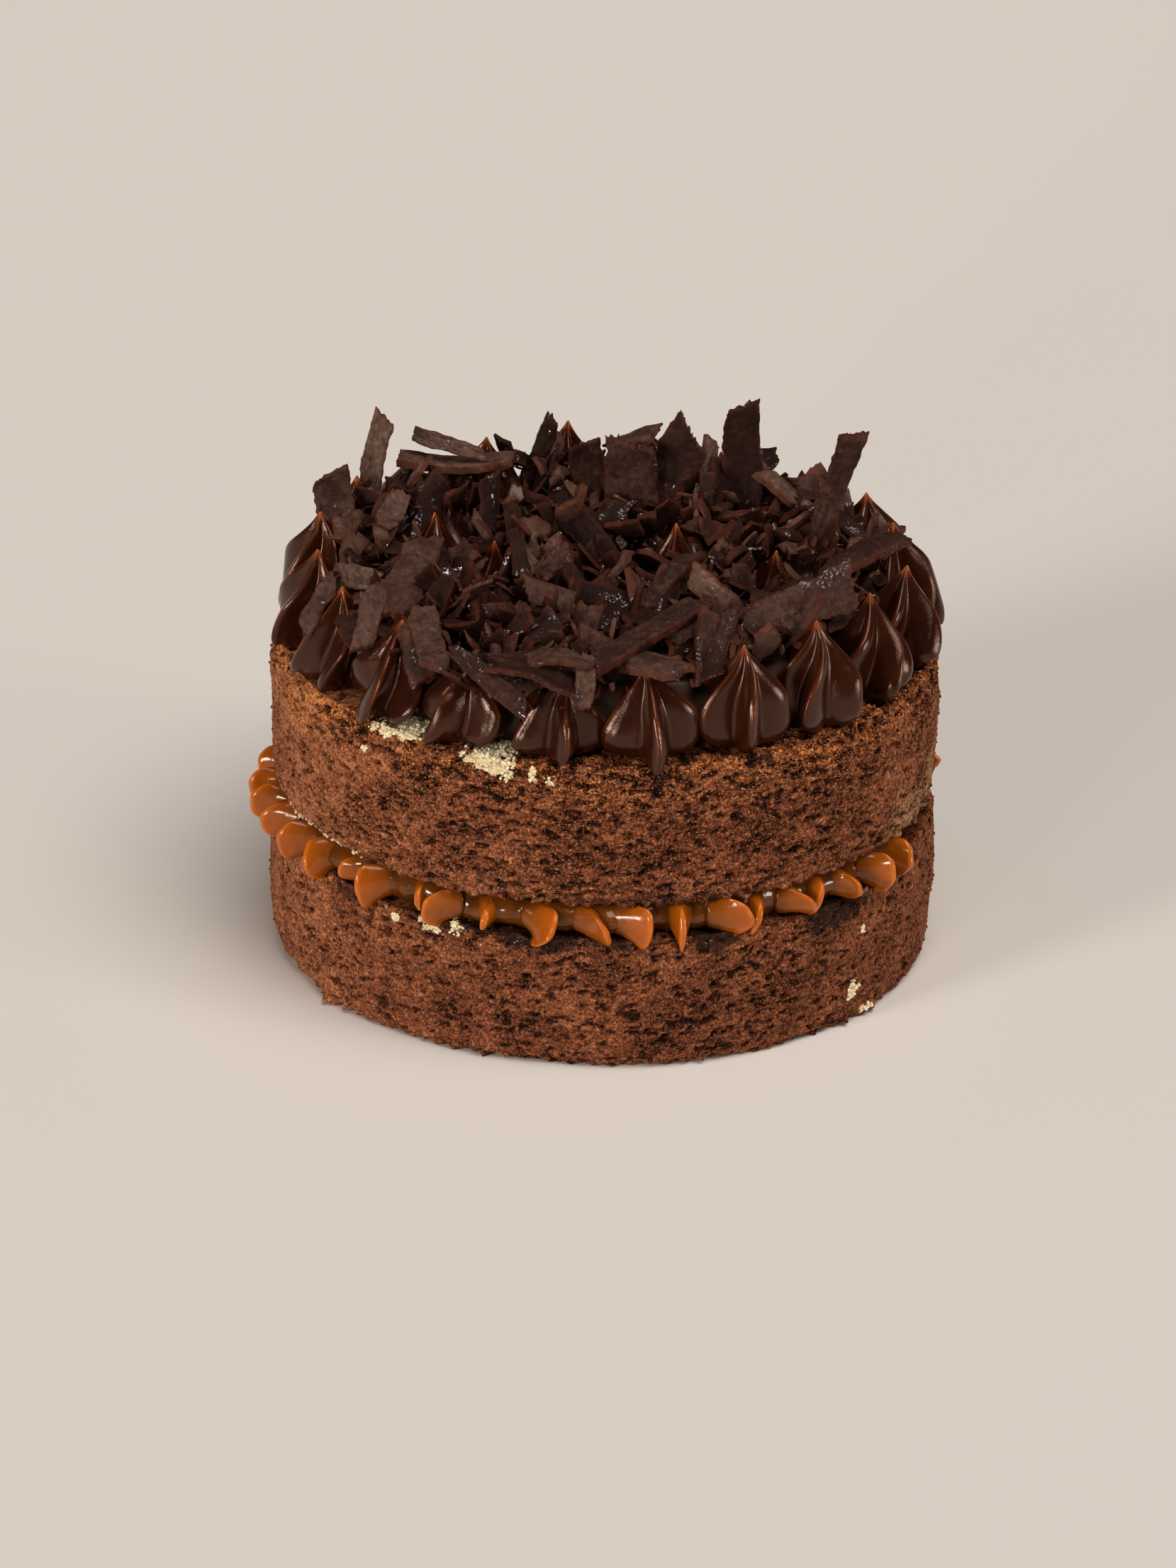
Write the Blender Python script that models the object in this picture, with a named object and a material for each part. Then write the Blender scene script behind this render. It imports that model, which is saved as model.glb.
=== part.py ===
# A two-layer chocolate cake, 15 cm across: two dark sponges, a ring of piped caramel
# pressed between them, piped chocolate ganache over the top, and a heap of shaved
# chocolate. Units are metres, +Z is up, the front faces -Y, and the origin is the
# middle of the cake's underside.

import math
import random

import bmesh
import bpy
from mathutils import Vector, noise
from mathutils.bvhtree import BVHTree

MM = 0.001

# Driving dimensions
SPONGE_RADIUS = 74.3 * MM
LOWER_SPONGE_HEIGHT = 31 * MM
FILLING_GAP = 8 * MM
UPPER_SPONGE_HEIGHT = 33 * MM
TOUCH_GAP = 0.3 * MM
WELD = 0.02 * MM

UPPER_SPONGE_BASE = LOWER_SPONGE_HEIGHT + FILLING_GAP
CAKE_TOP = UPPER_SPONGE_BASE + UPPER_SPONGE_HEIGHT
DECK = CAKE_TOP + TOUCH_GAP

# Sponge: sides swell a little and both edges are rounded
SPONGE_SEGMENTS = 56
SPONGE_RELIEF = 0.8 * MM
SPONGE_SEED = 3.7

# Caramel: a disc through the cake with a ring of squashed stars at its edge
CARAMEL_STARS = 22
CARAMEL_STAR_RADIUS = 9.8 * MM
CARAMEL_RING_RADIUS = 69 * MM
CARAMEL_CORE_RADIUS = 66 * MM
CARAMEL_FIRST_ANGLE = 1.6
CARAMEL_BULGE = 5.6 * MM
CARAMEL_FOLD_DEPTH = 0.46

# Ganache stars: an outer ring, and the inner ones whose tips come through the heap
STAR_LOBES = 5
STAR_FOLD_DEPTH = 0.42
OUTER_STARS = 20
OUTER_RING_RADIUS = 65 * MM
OUTER_FIRST_ANGLE = 9
OUTER_STAR_RADIUS = 11.2 * MM
OUTER_STAR_HEIGHT = 22.5 * MM
FLATTENED_STARS = {19: 0.80, 0: 0.88, 18: 0.76}
STAR_TWIST = 0.35
LOBE_OVERHANG_START = 0.8 * MM
LOBE_HANG = 2.5 * MM
INNER_STARS = ((-39, 12), (-25, 36), (-25, -3), (15, 10), (37, -6))
INNER_STAR_RADIUS = 8.6 * MM
INNER_STAR_HEIGHT = 22 * MM

# Heap of shaved chocolate: a core low in the middle, whose brim laps over the stars
HEAP_RADIUS = 52.5 * MM
HEAP_BRIM = 57 * MM
HEAP_HEIGHT = 16 * MM
HEAP_DISH = 3 * MM
SHARD_THICKNESS = 1.3 * MM
LOOSE_SHARDS = 60
SPOKE_SHARDS = 14
HEAP_SEED = 11

TOWARD_FRONT = Vector((0, -0.91, 0.42))
UPWARD = Vector((0.1, -0.1, 1))
SLANTED = Vector((0.1, -0.75, 0.65))

# The largest shards, in millimetres: foot, tip, width and the way the broad side faces
LARGE_SHARDS = (
    ((-55, 32, 88), (-51, 32, 109), 5.0, TOWARD_FRONT),
    ((-60, 18, 90), (-62, 18, 101), 8.0, TOWARD_FRONT),
    ((30, 30, 84), (30, 30, 114), 8.0, TOWARD_FRONT),
    ((45, 10, 84), (54, 10, 116), 5.5, TOWARD_FRONT),
    ((13, 31, 86), (17, 33, 108), 10.0, TOWARD_FRONT),
    ((6, 28, 86), (4, 27, 106), 11.0, TOWARD_FRONT),
    ((-3, 32, 86), (-6, 31, 104), 7.0, TOWARD_FRONT),
    ((22, 26, 86), (22, 26, 100), 3.0, TOWARD_FRONT),
    ((-22, 37, 98), (-47, 38, 97), 6.0, UPWARD),
    ((-28, 36, 99), (-44, 40, 102), 3.5, TOWARD_FRONT),
    ((-19, 43, 88), (-13, 43, 105), 4.0, TOWARD_FRONT),
    ((-50, 5, 94), (-46, 18, 97), 5.0, TOWARD_FRONT),
    ((-46, -40, 92), (-41, -9, 96), 8.0, UPWARD),
    ((-60, -28, 96), (-66, -35, 86), 4.0, SLANTED),
    ((-50, -32, 96), (-53, -48, 88), 5.0, SLANTED),
    ((-58, -27, 96), (-50, -22, 93), 5.0, SLANTED),
    ((-40, -42, 95), (-37, -62, 90), 6.5, SLANTED),
    ((-29, -38, 91), (-16, -44, 92), 8.0, UPWARD),
    ((-25, -64, 93), (-9, -64, 95), 6.0, UPWARD),
    ((-33, -66, 95), (-16, -80, 86), 4.5, SLANTED),
    ((-17, -66, 93), (-4, -68, 94), 5.0, UPWARD),
    ((-23, -70, 92), (-7, -76, 90), 9.0, UPWARD),
    ((-4, -66, 95), (-5, -77, 86), 4.0, SLANTED),
    ((-12, -15, 86), (-13, -15, 97), 6.0, TOWARD_FRONT),
    ((-19, -12, 90), (-22, 11, 97), 4.0, SLANTED),
    ((8, -33, 92), (19, -15, 97), 4.0, UPWARD),
    ((-2, -68, 94), (20, -41, 97), 6.0, UPWARD),
    ((13, -50, 93), (24, -40, 96), 6.0, SLANTED),
    ((4, -62, 92), (17, -67, 92), 8.0, UPWARD),
    ((26, -46, 97), (23, -60, 88), 5.0, SLANTED),
    ((29, -50, 93), (56, -30, 98), 9.0, SLANTED),
    ((47, -21, 95), (64, -5, 98), 6.0, UPWARD),
    ((32, -29, 93), (45, -23, 95), 5.0, UPWARD),
    ((36, 35, 91), (48, 28, 96), 6.0, TOWARD_FRONT),
    ((24, 1, 90), (29, -4, 94), 4.0, UPWARD),
)


def around(angle, radius, height):
    """A point at an angle in degrees from the front, positive toward +X."""
    turn = math.radians(angle)
    return Vector((radius * math.sin(turn), -radius * math.cos(turn), height))


def smooth_step(low, high, value):
    share = min(1, max(0, (value - low) / (high - low)))
    return share * share * (3 - 2 * share)


def make_material(name, color, roughness, coat=0):
    material = bpy.data.materials.new(name)
    material.use_nodes = True
    shader = material.node_tree.nodes["Principled BSDF"]
    shader.inputs["Base Color"].default_value = (*color, 1)
    shader.inputs["Roughness"].default_value = roughness
    shader.inputs["Metallic"].default_value = 0
    shader.inputs["Coat Weight"].default_value = coat
    return material


def add_object(name, shape, material=None, smooth_angle=None):
    mesh = bpy.data.meshes.new(name)
    shape.to_mesh(mesh)
    shape.free()
    if material:
        mesh.materials.append(material)
    if smooth_angle:
        mesh.shade_smooth()
        mesh.set_sharp_from_angle(angle=math.radians(smooth_angle))
    thing = bpy.data.objects.new(name, mesh)
    bpy.context.collection.objects.link(thing)
    return thing


def stack_rings(rings, tip=None):
    """Closed body through rings of points, lowest first, capped flat or with a tip."""
    shape = bmesh.new()
    loops = [[shape.verts.new(point) for point in ring] for ring in rings]
    for below, above in zip(loops, loops[1:]):
        for index in range(len(below)):
            following = (index + 1) % len(below)
            shape.faces.new((below[index], below[following], above[following], above[index]))
    shape.faces.new(reversed(loops[0]))
    if tip is None:
        shape.faces.new(loops[-1])
    else:
        peak = shape.verts.new(tip)
        top = loops[-1]
        for index in range(len(top)):
            shape.faces.new((top[index], top[(index + 1) % len(top)], peak))
    bmesh.ops.triangulate(shape, faces=[face for face in shape.faces if len(face.verts) == 4])
    return shape


# Sponge layers

def sponge_edge(angle, height, rim_inset):
    """Radius of the crumbly side: broad unevenness, less of it at the rounded rims."""
    turn = math.radians(angle)
    place = Vector((math.cos(turn) * 3.1, math.sin(turn) * 3.1, height / (14 * MM) + SPONGE_SEED))
    relief = SPONGE_RELIEF * noise.noise(place)
    return SPONGE_RADIUS - rim_inset + relief


def make_sponge(name, base, height, lower_rim, upper_rim, material):
    profile = (
        (0.00, lower_rim), (0.05, lower_rim * 0.45), (0.16, lower_rim * 0.1), (0.38, 0),
        (0.62, -0.3 * MM), (0.84, 0.1 * MM), (0.95, upper_rim * 0.4), (1.00, upper_rim))
    rings = []
    for share, inset in profile:
        level = base + share * height
        ring = []
        for index in range(SPONGE_SEGMENTS):
            angle = 360 * index / SPONGE_SEGMENTS
            ring.append(around(angle, sponge_edge(angle, level, inset), level))
        rings.append(ring)
    return add_object(name, stack_rings(rings), material, 40)


# Piped stars

def star_reach(turn, depth):
    """Share of the full radius: a sharp ridge on each lobe and a smooth fold between."""
    return 1 - depth * abs(math.sin(STAR_LOBES * turn / 2))


def seat_drop(radius):
    """How far a lobe hangs down past the sponge's rounded edge."""
    overhang = max(0, radius - (SPONGE_RADIUS - LOBE_OVERHANG_START))
    return min(LOBE_HANG, 0.9 * overhang)


def pressed_between_neighbours(x, y, angle):
    """Holds a point of an outer star inside its own share of the ring."""
    turn = math.radians(angle)
    outward = -y * math.cos(turn) + x * math.sin(turn)
    sideways = x * math.cos(turn) + y * math.sin(turn)
    room = outward * math.tan(math.pi / OUTER_STARS) - TOUCH_GAP * 0.7
    sideways = max(-room, min(room, sideways))
    return (sideways * math.cos(turn) + outward * math.sin(turn),
            sideways * math.sin(turn) - outward * math.cos(turn))


def ganache_star_shape(centre, radius, height, facing, lean, rows, angle=None):
    """A piped star with its folds running up into a leaning tip."""
    points = 3 * STAR_LOBES
    rings = []
    for share, reach in rows:
        ring = []
        depth = STAR_FOLD_DEPTH * (1 - 0.35 * share)
        sway = lean * share ** 2.2
        for index in range(points):
            turn = 2 * math.pi * index / points
            distance = radius * reach * star_reach(turn, depth)
            heading = turn + facing + STAR_TWIST * share
            x = centre.x + distance * math.cos(heading) + sway.x
            y = centre.y + distance * math.sin(heading) + sway.y
            if angle is not None:
                x, y = pressed_between_neighbours(x, y, angle)
            drop = seat_drop(math.hypot(x, y)) * (1 - share) ** 2
            ring.append(Vector((x, y, centre.z + share * height - drop)))
        rings.append(ring)
    tip = centre + lean + Vector((0, 0, height))
    return stack_rings(rings, tip)


OUTER_ROWS = ((0.0, 0.80), (0.13, 0.97), (0.30, 1.0), (0.52, 0.74), (0.74, 0.40), (0.90, 0.14))
INNER_ROWS = ((0.0, 0.85), (0.28, 1.0), (0.60, 0.62), (0.84, 0.22))


def make_ganache_stars(material):
    """Every star is its own piece. Returns the objects, outer ring first."""
    draw = random.Random(5)
    stars = []
    for number in range(OUTER_STARS):
        angle = OUTER_FIRST_ANGLE + number * 360 / OUTER_STARS
        centre = around(angle, OUTER_RING_RADIUS, DECK)
        height = OUTER_STAR_HEIGHT * draw.uniform(0.95, 1.06) * FLATTENED_STARS.get(number, 1)
        facing = draw.uniform(0, 2 * math.pi / STAR_LOBES)
        lean = around(draw.uniform(0, 360), draw.uniform(0.5, 2.2) * MM, 0)
        shape = ganache_star_shape(centre, OUTER_STAR_RADIUS, height, facing, lean, OUTER_ROWS, angle)
        stars.append(add_object(f"ganache_star_{number + 1:02d}", shape, material, 50))
    for number, (x, y) in enumerate(INNER_STARS, OUTER_STARS + 1):
        centre = Vector((x * MM, y * MM, DECK))
        height = INNER_STAR_HEIGHT * draw.uniform(0.98, 1.06)
        facing = draw.uniform(0, 2 * math.pi / STAR_LOBES)
        lean = around(draw.uniform(0, 360), draw.uniform(0.3, 1.0) * MM, 0)
        shape = ganache_star_shape(centre, INNER_STAR_RADIUS, height, facing, lean, INNER_ROWS)
        stars.append(add_object(f"ganache_star_{number:02d}", shape, material, 50))
    return stars


# Caramel filling

CARAMEL_LEVELS = ((-1, 0.74), (-0.88, 0.90), (0, 1.0), (0.88, 0.90), (1, 0.74))


def caramel_star_shape(angle, facing, radius):
    """A star squashed flat in the gap, whose fins swell where they are past the sponge."""
    middle = LOWER_SPONGE_HEIGHT + FILLING_GAP / 2
    inside = FILLING_GAP / 2 - TOUCH_GAP
    centre = around(angle, CARAMEL_RING_RADIUS, 0)
    outward = math.atan2(centre.y, centre.x)
    points = 3 * STAR_LOBES
    rings = []
    for level, reach in CARAMEL_LEVELS:
        ring = []
        for index in range(points):
            turn = 2 * math.pi * index / points
            heading = turn + outward + math.pi / STAR_LOBES + facing
            distance = radius * reach * star_reach(turn, CARAMEL_FOLD_DEPTH)
            x = centre.x + distance * math.cos(heading)
            y = centre.y + distance * math.sin(heading)
            free = smooth_step(SPONGE_RADIUS + 0.9 * MM, SPONGE_RADIUS + 1.9 * MM, math.hypot(x, y))
            half = inside + (CARAMEL_BULGE - inside) * free
            ring.append(Vector((x, y, middle + level * half)))
        rings.append(ring)
    return stack_rings(rings)


def join_pieces(target, pieces, operation="UNION"):
    """Applies one Boolean on a collection of pieces, then removes the pieces."""
    group = bpy.data.collections.new("joined_pieces")
    bpy.context.scene.collection.children.link(group)
    for piece in pieces:
        bpy.context.collection.objects.unlink(piece)
        group.objects.link(piece)
    boolean = target.modifiers.new("join", "BOOLEAN")
    boolean.operation = operation
    boolean.operand_type = "COLLECTION"
    boolean.collection = group
    boolean.solver = "MANIFOLD"
    evaluated = target.evaluated_get(bpy.context.evaluated_depsgraph_get())
    joined = bpy.data.meshes.new_from_object(evaluated)
    target.modifiers.clear()
    target.data = joined
    for piece in pieces:
        bpy.data.objects.remove(piece)
    bpy.data.collections.remove(group)


def keep_largest_body(thing):
    """Drops loose scraps that no longer touch the main body."""
    shape = bmesh.new()
    shape.from_mesh(thing.data)
    bmesh.ops.remove_doubles(shape, verts=shape.verts, dist=WELD)
    bodies = []
    unseen = set(shape.verts)
    while unseen:
        first = unseen.pop()
        body = [first]
        waiting = [first]
        while waiting:
            for edge in waiting.pop().link_edges:
                for vert in edge.verts:
                    if vert in unseen:
                        unseen.remove(vert)
                        body.append(vert)
                        waiting.append(vert)
        bodies.append(body)
    bodies.sort(key=len)
    for scrap in bodies[:-1]:
        bmesh.ops.delete(shape, geom=scrap, context="VERTS")
    bmesh.ops.dissolve_limit(shape, angle_limit=math.radians(1), verts=shape.verts, edges=shape.edges)
    bmesh.ops.triangulate(shape, faces=shape.faces)
    shape.to_mesh(thing.data)
    shape.free()


def make_caramel(material):
    draw = random.Random(8)
    rings = []
    for height in (LOWER_SPONGE_HEIGHT + TOUCH_GAP, UPPER_SPONGE_BASE - TOUCH_GAP):
        ring = []
        for index in range(2 * CARAMEL_STARS):
            ring.append(around(180 * index / CARAMEL_STARS, CARAMEL_CORE_RADIUS, height))
        rings.append(ring)
    filling = add_object("caramel_filling", stack_rings(rings), material)
    pieces = []
    for number in range(CARAMEL_STARS):
        angle = CARAMEL_FIRST_ANGLE + number * 360 / CARAMEL_STARS + draw.uniform(-1, 1)
        facing = math.radians(draw.uniform(-14, 14))
        radius = CARAMEL_STAR_RADIUS * draw.uniform(0.95, 1.03)
        pieces.append(add_object(f"fin_{number}", caramel_star_shape(angle, facing, radius)))
    join_pieces(filling, pieces)
    keep_largest_body(filling)
    filling.data.shade_smooth()
    filling.data.set_sharp_from_angle(angle=math.radians(45))
    return filling


# Heap of shaved chocolate

def heap_height(x, y):
    """Height of the bare heap: lumpy, dished in the middle and lower at its brim."""
    distance = math.hypot(x, y) / HEAP_BRIM
    lumps = noise.noise(Vector((x / (13 * MM), y / (13 * MM), HEAP_SEED)))
    dish = HEAP_DISH * smooth_step(0.35, 0.8, distance) - 1.5 * MM * smooth_step(0.85, 1.0, distance)
    return DECK + HEAP_HEIGHT + dish + 1.5 * MM * lumps


def make_heap_core():
    """A lumpy mound that fills the space inside the outer ring, with a brim over it."""
    sides = 40
    rings = []
    for radius, height in ((HEAP_RADIUS, 0), (HEAP_RADIUS + 0.8 * MM, 11 * MM), (HEAP_BRIM, 14.5 * MM)):
        rings.append([around(360 * index / sides, radius, DECK + height) for index in range(sides)])
    for share in (1.0, 0.9, 0.76, 0.6, 0.44, 0.3, 0.15):
        ring = []
        for index in range(sides):
            flat = around(360 * index / sides, HEAP_BRIM * share, 0)
            ring.append(Vector((flat.x, flat.y, heap_height(flat.x, flat.y))))
        rings.append(ring)
    return add_object("chocolate_shavings", stack_rings(rings, Vector((0, 0, heap_height(0, 0)))))


def star_socket(number, x, y):
    """Round cutter that leaves a small gap about one inner star."""
    sides = 10
    room = 1.6 * MM
    rings = []
    for level, reach in ((-0.1, 1.0), (0.30, 1.0), (0.62, 0.64), (0.86, 0.26), (1.25, 0.14)):
        ring = []
        for index in range(sides):
            turn = 2 * math.pi * index / sides
            distance = INNER_STAR_RADIUS * reach + room
            ring.append(Vector((x * MM + distance * math.cos(turn), y * MM + distance * math.sin(turn),
                                DECK + level * INNER_STAR_HEIGHT)))
        rings.append(ring)
    return add_object(f"socket_{number}", stack_rings(rings))


CURVED_STATIONS = ((0, 0.85, 0), (0.5, 1.0, 0.06), (1, 0.68, -0.1))
STRAIGHT_STATIONS = ((0, 1.0, 0.1), (1, 0.7, -0.15))


def shard_shape(foot, tip, width, facing, curl):
    """A chip of even thickness, a little narrower toward its tip, and curved if long."""
    along = tip - foot
    side = along.cross(facing).normalized() * width / 2
    thick = side.cross(along).normalized() * SHARD_THICKNESS / 2
    rings = []
    for share, wide, skew in CURVED_STATIONS if curl else STRAIGHT_STATIONS:
        bend = thick.normalized() * curl * (1 - (2 * share - 1) ** 2)
        middle = foot + along * share + bend + side * skew
        across = side * wide
        rings.append([middle - across - thick, middle + across - thick,
                      middle + across + thick, middle - across + thick])
    if (rings[0][1] - rings[0][0]).cross(rings[0][3] - rings[0][0]).dot(along) < 0:
        rings = [list(reversed(ring)) for ring in rings]
    return stack_rings(rings)


def grown_star_trees(stars):
    """Search trees of the stars, each swollen slightly so that shards keep a gap."""
    trees = []
    for star in stars:
        shape = bmesh.new()
        shape.from_mesh(star.data)
        shape.normal_update()
        for vert in shape.verts:
            vert.co += vert.normal * 0.8 * MM
        trees.append(BVHTree.FromBMesh(shape))
        shape.free()
    return trees


def place_shard(foot, tip, width, facing, curl, stars, heap):
    """Slides a shard inward or up until it is held by the heap and clear of the stars."""
    for lift in (0, 1.5, 3, -1.5, -3, 4.5):
        for slide in (0, 3, 6, 9, 12):
            middle = (foot + tip) / 2
            inward = Vector((-middle.x, -middle.y, 0)).normalized() * slide * MM
            shift = inward + Vector((0, 0, lift * MM))
            shape = shard_shape(foot + shift, tip + shift, width, facing, curl)
            tree = BVHTree.FromBMesh(shape)
            held = any(tree.overlap(other) for other in heap)
            clear = not any(tree.overlap(other) for other in stars)
            if held and clear:
                heap.append(tree)
                return shape
            shape.free()
    return None


def make_shavings(stars, material):
    draw = random.Random(HEAP_SEED)
    core = make_heap_core()
    star_trees = grown_star_trees(stars)
    core_shape = bmesh.new()
    core_shape.from_mesh(core.data)
    heap = [BVHTree.FromBMesh(core_shape)]
    core_shape.free()
    pieces = []
    for number in range(SPOKE_SHARDS):
        angle = number * 360 / SPOKE_SHARDS + draw.uniform(-3, 3)
        foot = around(angle + draw.uniform(-14, 14), draw.uniform(40, 46) * MM, DECK + HEAP_HEIGHT)
        tip = around(angle, draw.uniform(60, 68) * MM, DECK + draw.uniform(16, 24) * MM)
        shape = place_shard(foot, tip, draw.uniform(4, 7) * MM, UPWARD, 0.5 * MM, star_trees, heap)
        if shape:
            pieces.append(add_object(f"shard_{len(pieces)}", shape))
    for foot, tip, width, facing in LARGE_SHARDS:
        curl = draw.uniform(-1.2, 1.2) * MM
        shape = place_shard(Vector(foot) * MM, Vector(tip) * MM, width * MM, facing, curl,
                            star_trees, heap)
        if shape:
            pieces.append(add_object(f"shard_{len(pieces)}", shape))
    for number in range(LOOSE_SHARDS):
        distance = (HEAP_BRIM + 6 * MM) * math.sqrt((number + 0.5) / LOOSE_SHARDS)
        middle = around(number * 137.5, distance, 0)
        middle.z = heap_height(middle.x, middle.y) + draw.uniform(0.5, 3) * MM
        heading = draw.uniform(0, 2 * math.pi)
        rise = math.radians(draw.uniform(-12, 48))
        along = Vector((math.cos(heading) * math.cos(rise), math.sin(heading) * math.cos(rise),
                        math.sin(rise)))
        half = along * draw.uniform(4, 9) * MM
        facing = Vector((draw.uniform(-0.6, 0.6), draw.uniform(-0.6, 0.6), 1))
        width = draw.uniform(3, 6.5) * MM
        shape = place_shard(middle - half, middle + half, width, facing, 0, star_trees, heap)
        if shape:
            pieces.append(add_object(f"shard_{len(pieces)}", shape))
    join_pieces(core, pieces)
    sockets = [star_socket(number, x, y) for number, (x, y) in enumerate(INNER_STARS)]
    join_pieces(core, sockets, "DIFFERENCE")
    keep_largest_body(core)
    core.data.materials.clear()
    core.data.materials.append(material)
    return core


def main():
    for thing in list(bpy.data.objects):
        bpy.data.objects.remove(thing)
    sponge = make_material("sponge", (0.16, 0.055, 0.028), 0.85)
    caramel = make_material("caramel", (0.42, 0.12, 0.018), 0.22, 0.4)
    ganache = make_material("ganache", (0.035, 0.010, 0.006), 0.2, 0.5)
    shavings = make_material("shavings", (0.045, 0.024, 0.019), 0.55)
    make_sponge("lower_sponge", 0, LOWER_SPONGE_HEIGHT, 2.2 * MM, 1.2 * MM, sponge)
    make_caramel(caramel)
    make_sponge("upper_sponge", UPPER_SPONGE_BASE, UPPER_SPONGE_HEIGHT, 1.2 * MM, 2.4 * MM, sponge)
    stars = make_ganache_stars(ganache)
    make_shavings(stars, shavings)


main()
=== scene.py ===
import math
import random

import bmesh
import bpy
from mathutils import Matrix, Vector, noise


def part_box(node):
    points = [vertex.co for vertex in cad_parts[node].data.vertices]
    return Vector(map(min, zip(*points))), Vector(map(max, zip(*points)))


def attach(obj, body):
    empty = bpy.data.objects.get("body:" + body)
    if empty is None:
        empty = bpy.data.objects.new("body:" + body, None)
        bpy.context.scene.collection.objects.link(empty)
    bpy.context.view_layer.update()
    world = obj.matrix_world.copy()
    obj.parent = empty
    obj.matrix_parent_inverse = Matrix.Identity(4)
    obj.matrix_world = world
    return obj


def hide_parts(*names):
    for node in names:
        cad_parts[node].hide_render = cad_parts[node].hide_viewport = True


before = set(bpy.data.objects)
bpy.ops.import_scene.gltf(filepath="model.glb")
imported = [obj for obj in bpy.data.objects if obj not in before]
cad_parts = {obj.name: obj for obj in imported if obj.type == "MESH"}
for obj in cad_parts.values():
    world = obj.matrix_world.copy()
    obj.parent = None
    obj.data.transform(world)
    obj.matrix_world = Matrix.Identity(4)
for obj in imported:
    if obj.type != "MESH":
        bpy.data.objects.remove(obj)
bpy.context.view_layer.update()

# A small two-layer chocolate cake: crumbly sponges, piped caramel pressed between them,
# piped ganache stars on top and a heap of broken chocolate flakes. Front is -Y.

mm = 0.001
scene = bpy.context.scene


# Little helpers

def clamp(value, low=0.0, high=1.0):
    return max(low, min(high, value))


def ease(low, high, value):
    share = clamp((value - low) / (high - low))
    return share * share * (3 - 2 * share)


def mixValue(first, second, share):
    return first + (second - first) * share


def around(angle, radius, height):   # degrees from the front, positive toward +X
    turn = math.radians(angle)
    return Vector((radius * math.sin(turn), -radius * math.cos(turn), height))


def angleOf(x, y):
    return math.degrees(math.atan2(x, -y))


def angleGap(first, second):
    return abs((first - second + 180) % 360 - 180)


def curveThrough(points):   # smooth steps through (share, value) pairs
    def read(share):
        for (lowShare, lowValue), (highShare, highValue) in zip(points, points[1:]):
            if share <= highShare:
                part = (share - lowShare) / (highShare - lowShare)
                before = slopes[lowShare]
                after = slopes[highShare]
                width = highShare - lowShare
                square = part * part
                cube = square * part
                return ((2 * cube - 3 * square + 1) * lowValue + (cube - 2 * square + part) * width * before
                        + (3 * square - 2 * cube) * highValue + (cube - square) * width * after)
        return points[-1][1]
    slopes = {}
    for index, (share, value) in enumerate(points):
        below = points[max(0, index - 1)]
        above = points[min(len(points) - 1, index + 1)]
        slopes[share] = (above[1] - below[1]) / (above[0] - below[0])
    return read


def placeMesh(name, mesh):
    piece = bpy.data.objects.new(name, mesh)
    scene.collection.objects.link(piece)
    return piece


def makeMesh(name, points, faces):
    mesh = bpy.data.meshes.new(name)
    mesh.from_pydata(points, [], faces)
    mesh.update()
    mesh.shade_smooth()
    return placeMesh(name, mesh)


def ringFaces(rows, columns):   # quads between rings of points, closed round
    faces = []
    for row in range(rows - 1):
        for column in range(columns):
            following = (column + 1) % columns
            low = row * columns
            high = low + columns
            faces.append((low + column, low + following, high + following, high + column))
    return faces


def solidFaces(rows, columns):   # the same, with the first and the last ring closed
    last = (rows - 1) * columns
    return ringFaces(rows, columns) + [tuple(reversed(range(columns))), tuple(range(last, last + columns))]


def paint(piece, name, values):   # one number a point, read by the material
    layer = piece.data.attributes.new(name, "FLOAT", "POINT")
    layer.data.foreach_set("value", values)


def joinMeshes(name, pieces):
    builder = bmesh.new()
    for piece in pieces:
        builder.from_mesh(piece.data)
        bpy.data.objects.remove(piece)
    mesh = bpy.data.meshes.new(name)
    builder.to_mesh(mesh)
    builder.free()
    mesh.shade_smooth()
    return placeMesh(name, mesh)


# Node trees: a value from a socket takes part in plain sums

class Reading:
    def __init__(self, maker, socket):
        self.maker = maker
        self.socket = socket

    def sum(self, operation, first, second):
        return self.maker.add("ShaderNodeMath", {"operation": operation}, {0: first, 1: second})

    def __add__(self, other):
        return self.sum("ADD", self, other)

    def __radd__(self, other):
        return self.sum("ADD", other, self)

    def __sub__(self, other):
        return self.sum("SUBTRACT", self, other)

    def __rsub__(self, other):
        return self.sum("SUBTRACT", other, self)

    def __mul__(self, other):
        return self.sum("MULTIPLY", self, other)

    def between(self, low, high):   # 0 at low, 1 at high
        settings = {"interpolation_type": "SMOOTHSTEP"}
        return self.maker.add("ShaderNodeMapRange", settings, {0: self, 1: low, 2: high, 3: 0.0, 4: 1.0})


class TreeMaker:
    def __init__(self, tree):
        self.tree = tree

    def add(self, kind, settings, values, output=0):
        node = self.tree.nodes.new(kind)
        for key, value in settings.items():
            if key == "stops":
                for index, (spot, color) in enumerate(value):
                    elements = node.color_ramp.elements
                    stop = elements[index] if index < 2 else elements.new(spot)
                    stop.position = spot
                    stop.color = (*color, 1)
            else:
                setattr(node, key, value)
        for key, value in values.items():
            self.feed(node.inputs[key], value)
        return Reading(self, node.outputs[output])

    def feed(self, socket, value):
        if isinstance(value, Reading):
            self.tree.links.new(value.socket, socket)
        elif isinstance(value, tuple) and len(value) == 3 and socket.type == "RGBA":
            socket.default_value = (*value, 1)
        else:
            socket.default_value = value


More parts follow.
